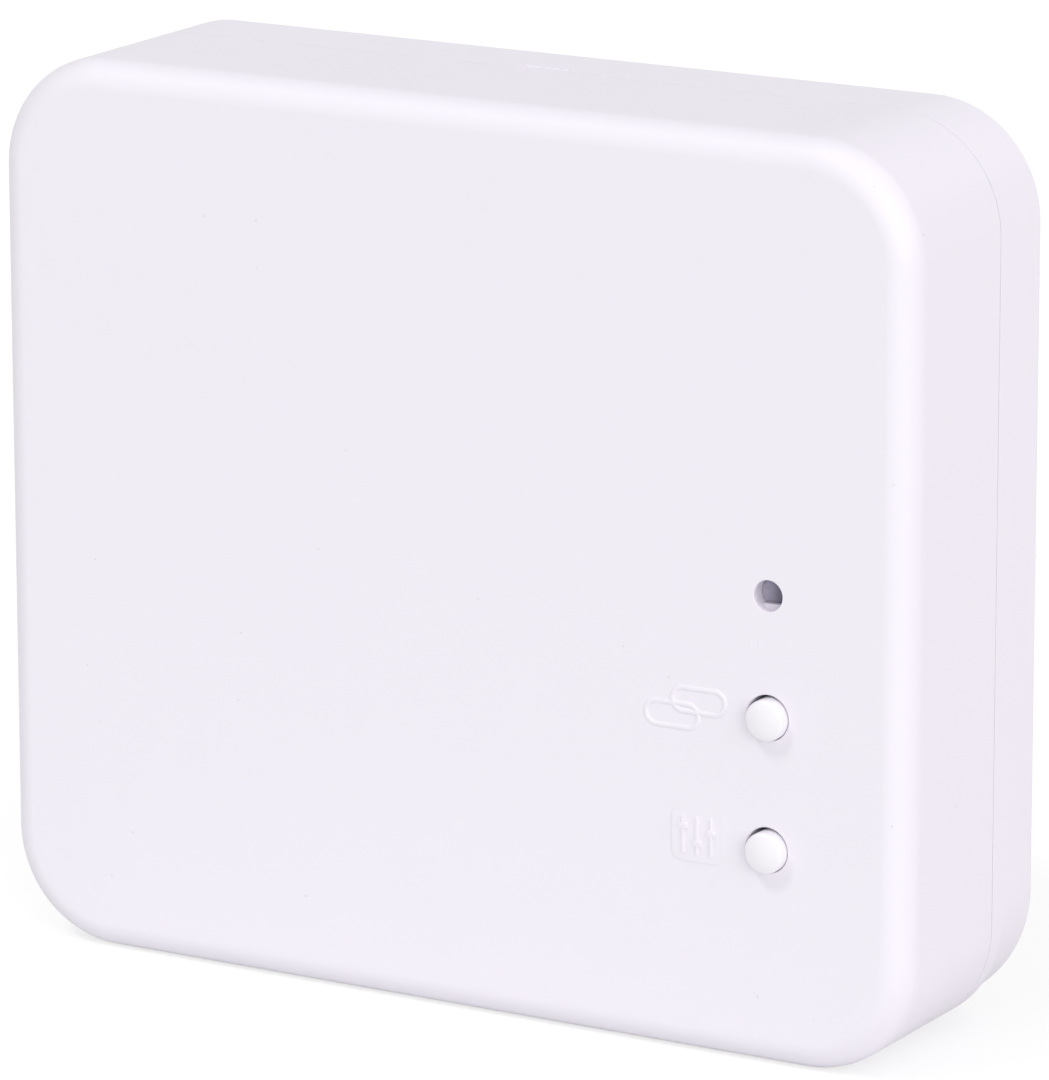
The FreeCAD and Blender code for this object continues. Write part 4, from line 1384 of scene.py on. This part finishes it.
# Radio shield
# A can of tin-plated sheet over the radio's chips, folded from one piece, with a few small holes
# that let the soldering heat through.
vent_radius = 0.4 * mm
vent_pitch = 2.4 * mm
vent_deep = 0.3 * mm
vent_steps = 24
shield = moulded_case("shield_can", shield_low, shield_high, corner=0.6 * mm, edge=0.35 * mm)
vents = [drilled("vent", shield_centre + Vector((column, 0, row)) * vent_pitch, vent_radius,
                 shield_low.y + vent_deep, shield_low.y - mm, vent_steps)
         for row, column in product((-1, 0, 1), repeat=2)]
cut(shield, *vents)
tin_plate = plated_metal("tin_plate", (0.78, 0.77, 0.74), (0.68, 0.67, 0.64), 0.28, (6, 1, 1), 500.0)
fit(shield, tin_plate, "radio_shield")


# Control chip and regulator
# Two packages of black moulded epoxy with tinned leads bent down to the board: the chip with eight
# on each side and a dimple at its first lead, the regulator with three and a wide tab.
chip_low, chip_high, chip_centre = placed("control_chip")
regulator_low, regulator_high, regulator_centre = placed("regulator")
lead_length = 1.0 * mm
lead_pitch = 0.8 * mm
lead_width = 0.35 * mm
lead_thickness = 0.16 * mm
lead_foot = 0.4 * mm
lead_slant = 0.2 * mm
lead_rise = 0.4 * mm
lead_rows = 8
leg_spacing = 2.25 * mm
leg_width = 0.8 * mm
tab_width = 3.0 * mm
stand_off = 0.12 * mm
package_corner = 0.22 * mm
package_edge = 0.14 * mm
package_steps = 3
package_seam = 0.01 * mm
dimple_radius = 0.4 * mm
dimple_inset = 0.85 * mm
dimple_deep = 0.08 * mm


def bent_lead(name, end, out, width):
    """Flat lead from its outer end on the board, up and into a package. Out is the way it points."""
    sideways = Vector((out.z, 0, out.x)) * (width / 2)
    inner_end = end - out * lead_foot
    corners = (end + sideways, end - sideways, inner_end + sideways, inner_end - sideways,
               end + Vector((0, -lead_thickness, 0)))
    low, high = ([limit(corner[axis] for corner in corners) for axis in range(3)] for limit in (min, max))
    lead = box_between(name, low, high)
    with shaping(lead):
        pick(lead, "faces", lambda place: near((place - inner_end).dot(out), 0))
        for step in (Vector((0, -lead_rise, 0)) - out * lead_slant, -out * lead_length):
            bpy.ops.mesh.extrude_region_move(TRANSFORM_OT_translate={"value": step})
    return lead


def package(name, low, high, reach):
    """Body of a package between its leads, standing a little off the board."""
    return rounded_box(name, low + reach, high - reach - Vector((0, stand_off, 0)), package_corner,
                       steps=package_steps, edge=package_edge, edge_steps=package_steps)


def leaded_epoxy(name, axis, centre, reach):
    """Black moulded epoxy, with tinned leads beyond a distance from the middle of the package."""
    material, graph, place = new_material(name)
    metal = (axes_of(graph, place)[axis] - centre).maths("ABSOLUTE") > reach
    filler, tone = mottled(graph, place, 1500.0, (0.042, 0.042, 0.044), (0.03, 0.03, 0.032))
    shaded(graph, {"Base Color": coat(graph, metal, tone, tinned), "Metallic": metal,
                   "Roughness": filler * 0.1 + 0.5 - metal * 0.22,
                   "Normal": relief(graph, filler, 0.006 * mm, 1.0)})
    return material


chip = package("chip_body", chip_low, chip_high, Vector((lead_length, 0, 0)))
chip_leads = []
for side, outer in ((-1, chip_low.x), (1, chip_high.x)):
    for row in range(lead_rows):
        lead_end = Vector((outer, board_face, chip_centre.z + (row - (lead_rows - 1) / 2) * lead_pitch))
        chip_leads.append(bent_lead("lead", lead_end, Vector((side, 0, 0)), lead_width))
add(chip, *chip_leads)
dimple_place = Vector((chip_low.x + lead_length + dimple_inset, 0, chip_high.z - dimple_inset))
cut(chip, drilled("dimple", dimple_place, dimple_radius, chip_low.y + dimple_deep, chip_low.y - mm,
                  few_steps))
chip_epoxy = leaded_epoxy("chip_epoxy", 0, chip_centre.x,
                          chip_high.x - chip_centre.x - lead_length + package_seam)
fit(chip, chip_epoxy, "control_chip")

regulator = package("regulator_body", regulator_low, regulator_high, Vector((0, 0, lead_length)))
legs = [bent_lead("leg", Vector((regulator_centre.x + place * leg_spacing, board_face, regulator_low.z)),
                  Vector((0, 0, -1)), leg_width) for place in (-1, 0, 1)]
legs.append(bent_lead("tab", Vector((regulator_centre.x, board_face, regulator_high.z)), Vector((0, 0, 1)),
                      tab_width))
add(regulator, *legs)
regulator_epoxy = leaded_epoxy("regulator_epoxy", 2, regulator_centre.z,
                               regulator_high.z - regulator_centre.z - lead_length + package_seam)
fit(regulator, regulator_epoxy, "regulator")


# Small parts
# Eight chip resistors and capacitors of fired ceramic, each soldered to the board by its two
# tinned end caps, in two columns beside the relay.
small_low, small_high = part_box("small_parts")
small_half = Vector((1.0 * mm, 0.3 * mm, 0.625 * mm))
small_pitch = 3.6 * mm
small_rows = 4
end_cap = 0.42 * mm
cap_proud = 0.05 * mm
cap_edge = 0.07 * mm
small_columns = (small_low.x + small_half.x, small_high.x - small_half.x)
small_places = [Vector((column, board_face - small_half.y, small_low.z + small_half.z + row * small_pitch))
                for column in small_columns for row in range(small_rows)]
first_small = small_places[0]
core_half = small_half - Vector((cap_proud, cap_proud, cap_proud))
small_part = box_between("small_part", first_small - core_half, first_small + core_half)
caps = []
for side in (-1, 1):
    middle = first_small + Vector((side * (small_half.x - end_cap / 2), 0, 0))
    cap_half = Vector((end_cap / 2, small_half.y, small_half.z))
    cap = box_between("cap", middle - cap_half, middle + cap_half)
    soften(cap, anywhere, cap_edge, steps=2)
    caps.append(cap)
add(small_part, *caps)
tinned_ceramic, graph, place = new_material("tinned_ceramic")
x, y, z = axes_of(graph, place)
body_half = small_half.x - end_cap
first, second = (between(x, column - body_half, column + body_half) for column in small_columns)
body = first + second
fired, tone = mottled(graph, place, 1300.0, (0.36, 0.27, 0.19), (0.29, 0.21, 0.145), 3.0)
tone = coat(graph, x > sum(small_columns) / 2, tone, (0.035, 0.035, 0.038))
shaded(graph, {"Base Color": coat(graph, 1 - body, tone, tinned), "Metallic": 1 - body,
               "Roughness": fired * 0.15 + 0.32})
fit(repeated("chip_part_set", small_part, small_places), tinned_ceramic, "small_parts")


# Service header
# Four square gilt pins in a strip of black nylon at the right edge of the board. The factory
# clips its programming lead onto them.
header_low, header_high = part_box("service_header")
pins_low, pins_high, pins_centre = placed("service_pins")
header_poles = 4
header_pitch = (header_high.z - header_low.z) / header_poles
header_half = (header_high.x - header_low.x) / 2
header_corner = 0.5 * mm
header_overlap = 0.005 * mm
pin_half = (pins_high.x - pins_low.x) / 2
pin_taper = 0.7 * mm
pin_point = 0.5
pin_places = [Vector((pins_centre.x, 0, header_low.z + (pole + 0.5) * header_pitch))
              for pole in range(header_poles)]
block_half = header_pitch / 2 + header_overlap
blocks = [rounded_box("strip_block", *span(place, header_half, block_half, header_low.y, header_high.y),
                      header_corner, steps=1) for place in pin_places]
strip = named(blocks[0], "header_strip")
add(strip, *blocks[1:])
ways = [block("way", place, pin_half, pin_half, header_low.y - mm, header_high.y + mm)
        for place in pin_places]
cut(strip, *ways)
header_nylon = satin_plastic("header_nylon", (0.036, 0.036, 0.038), (0.028, 0.028, 0.03), 0.45)
fit(strip, header_nylon, "service_header")
taper_start = pins_low.y + pin_taper
pin = block("pin", pin_places[0], pin_half, pin_half, taper_start, board_face)
with shaping(pin):
    pick(pin, "faces", at_y(taper_start))
    bpy.ops.mesh.extrude_region_move(TRANSFORM_OT_translate={"value": (0, -pin_taper, 0)})
narrow(pin, pin_places[0], pins_low.y, pin_point, pin_point)
gilt_plate = plated_metal("gilt_plate", (0.83, 0.66, 0.30), (0.74, 0.57, 0.24), 0.25, (1, 0.15, 1), 2500.0)
fit(repeated("pin_set", pin, pin_places), gilt_plate, "service_pins")


# Cable clamps
# Two bars of grey polyamide over the cable opening, each arched below to grip one cable between two
# posts of the base, and held by two of the same self-cutting screws.
clamp_low, clamp_high, clamp_centre = placed("right_cable_clamp")
clamp_corner = 1.2 * mm
clamp_edge = 0.4 * mm
clamp_hole_reach = 6.5 * mm
clamp_hole = 1.25 * mm
grip_radius = 3.5 * mm
grip_arch = 1.2 * mm
rib_half = (1.6 * mm, 0.3 * mm)
rib_spread = 1.3 * mm
rib_root = 0.4 * mm
rib_rise = 0.5 * mm
clamp_screw_length = 7.5 * mm
clamp = rounded_box("right_clamp_bar", clamp_low, clamp_high, clamp_corner, steps=6, edge=clamp_edge,
                    edge_steps=4)
clear_selection()
bpy.ops.mesh.primitive_cylinder_add(
    vertices=hole_steps, radius=grip_radius, depth=2 * (clamp_high.z - clamp_low.z),
    location=(clamp_centre.x, clamp_high.y + grip_radius - grip_arch, clamp_centre.z))
cuts = [bpy.context.object]
bpy.ops.object.transform_apply(location=True, rotation=True, scale=True)
for side in (-1, 1):
    cuts.append(drilled("hole", clamp_centre + Vector((side * clamp_hole_reach, 0, 0)), clamp_hole,
                        clamp_high.y + mm, clamp_low.y - mm, few_steps))
cut(clamp, *cuts)
crest = clamp_high.y - grip_arch
ribs = []
for side in (-1, 1):
    rib_place = clamp_centre + Vector((0, 0, side * rib_spread))
    ribs.append(block("rib", rib_place, *rib_half, crest - rib_root, crest + rib_rise))
add(clamp, *ribs)
left_clamp = copied(clamp, (-2 * clamp_centre.x, 0, 0), "left_clamp_bar")
grey_polyamide = satin_plastic("grey_polyamide", (0.62, 0.62, 0.635), (0.57, 0.57, 0.585), 0.48, cloud=70,
                               grain=1900, depth=0.006 * mm)
fit(clamp, grey_polyamide, "right_cable_clamp")
fit(left_clamp, grey_polyamide, "left_cable_clamp")
clamp_screw = cross_screw("clamp_screw", clamp_post_places[0], clamp_low.y, clamp_screw_length)
fit(repeated("clamp_screw_set", clamp_screw, clamp_post_places), zinc_plate, "clamp_screws")
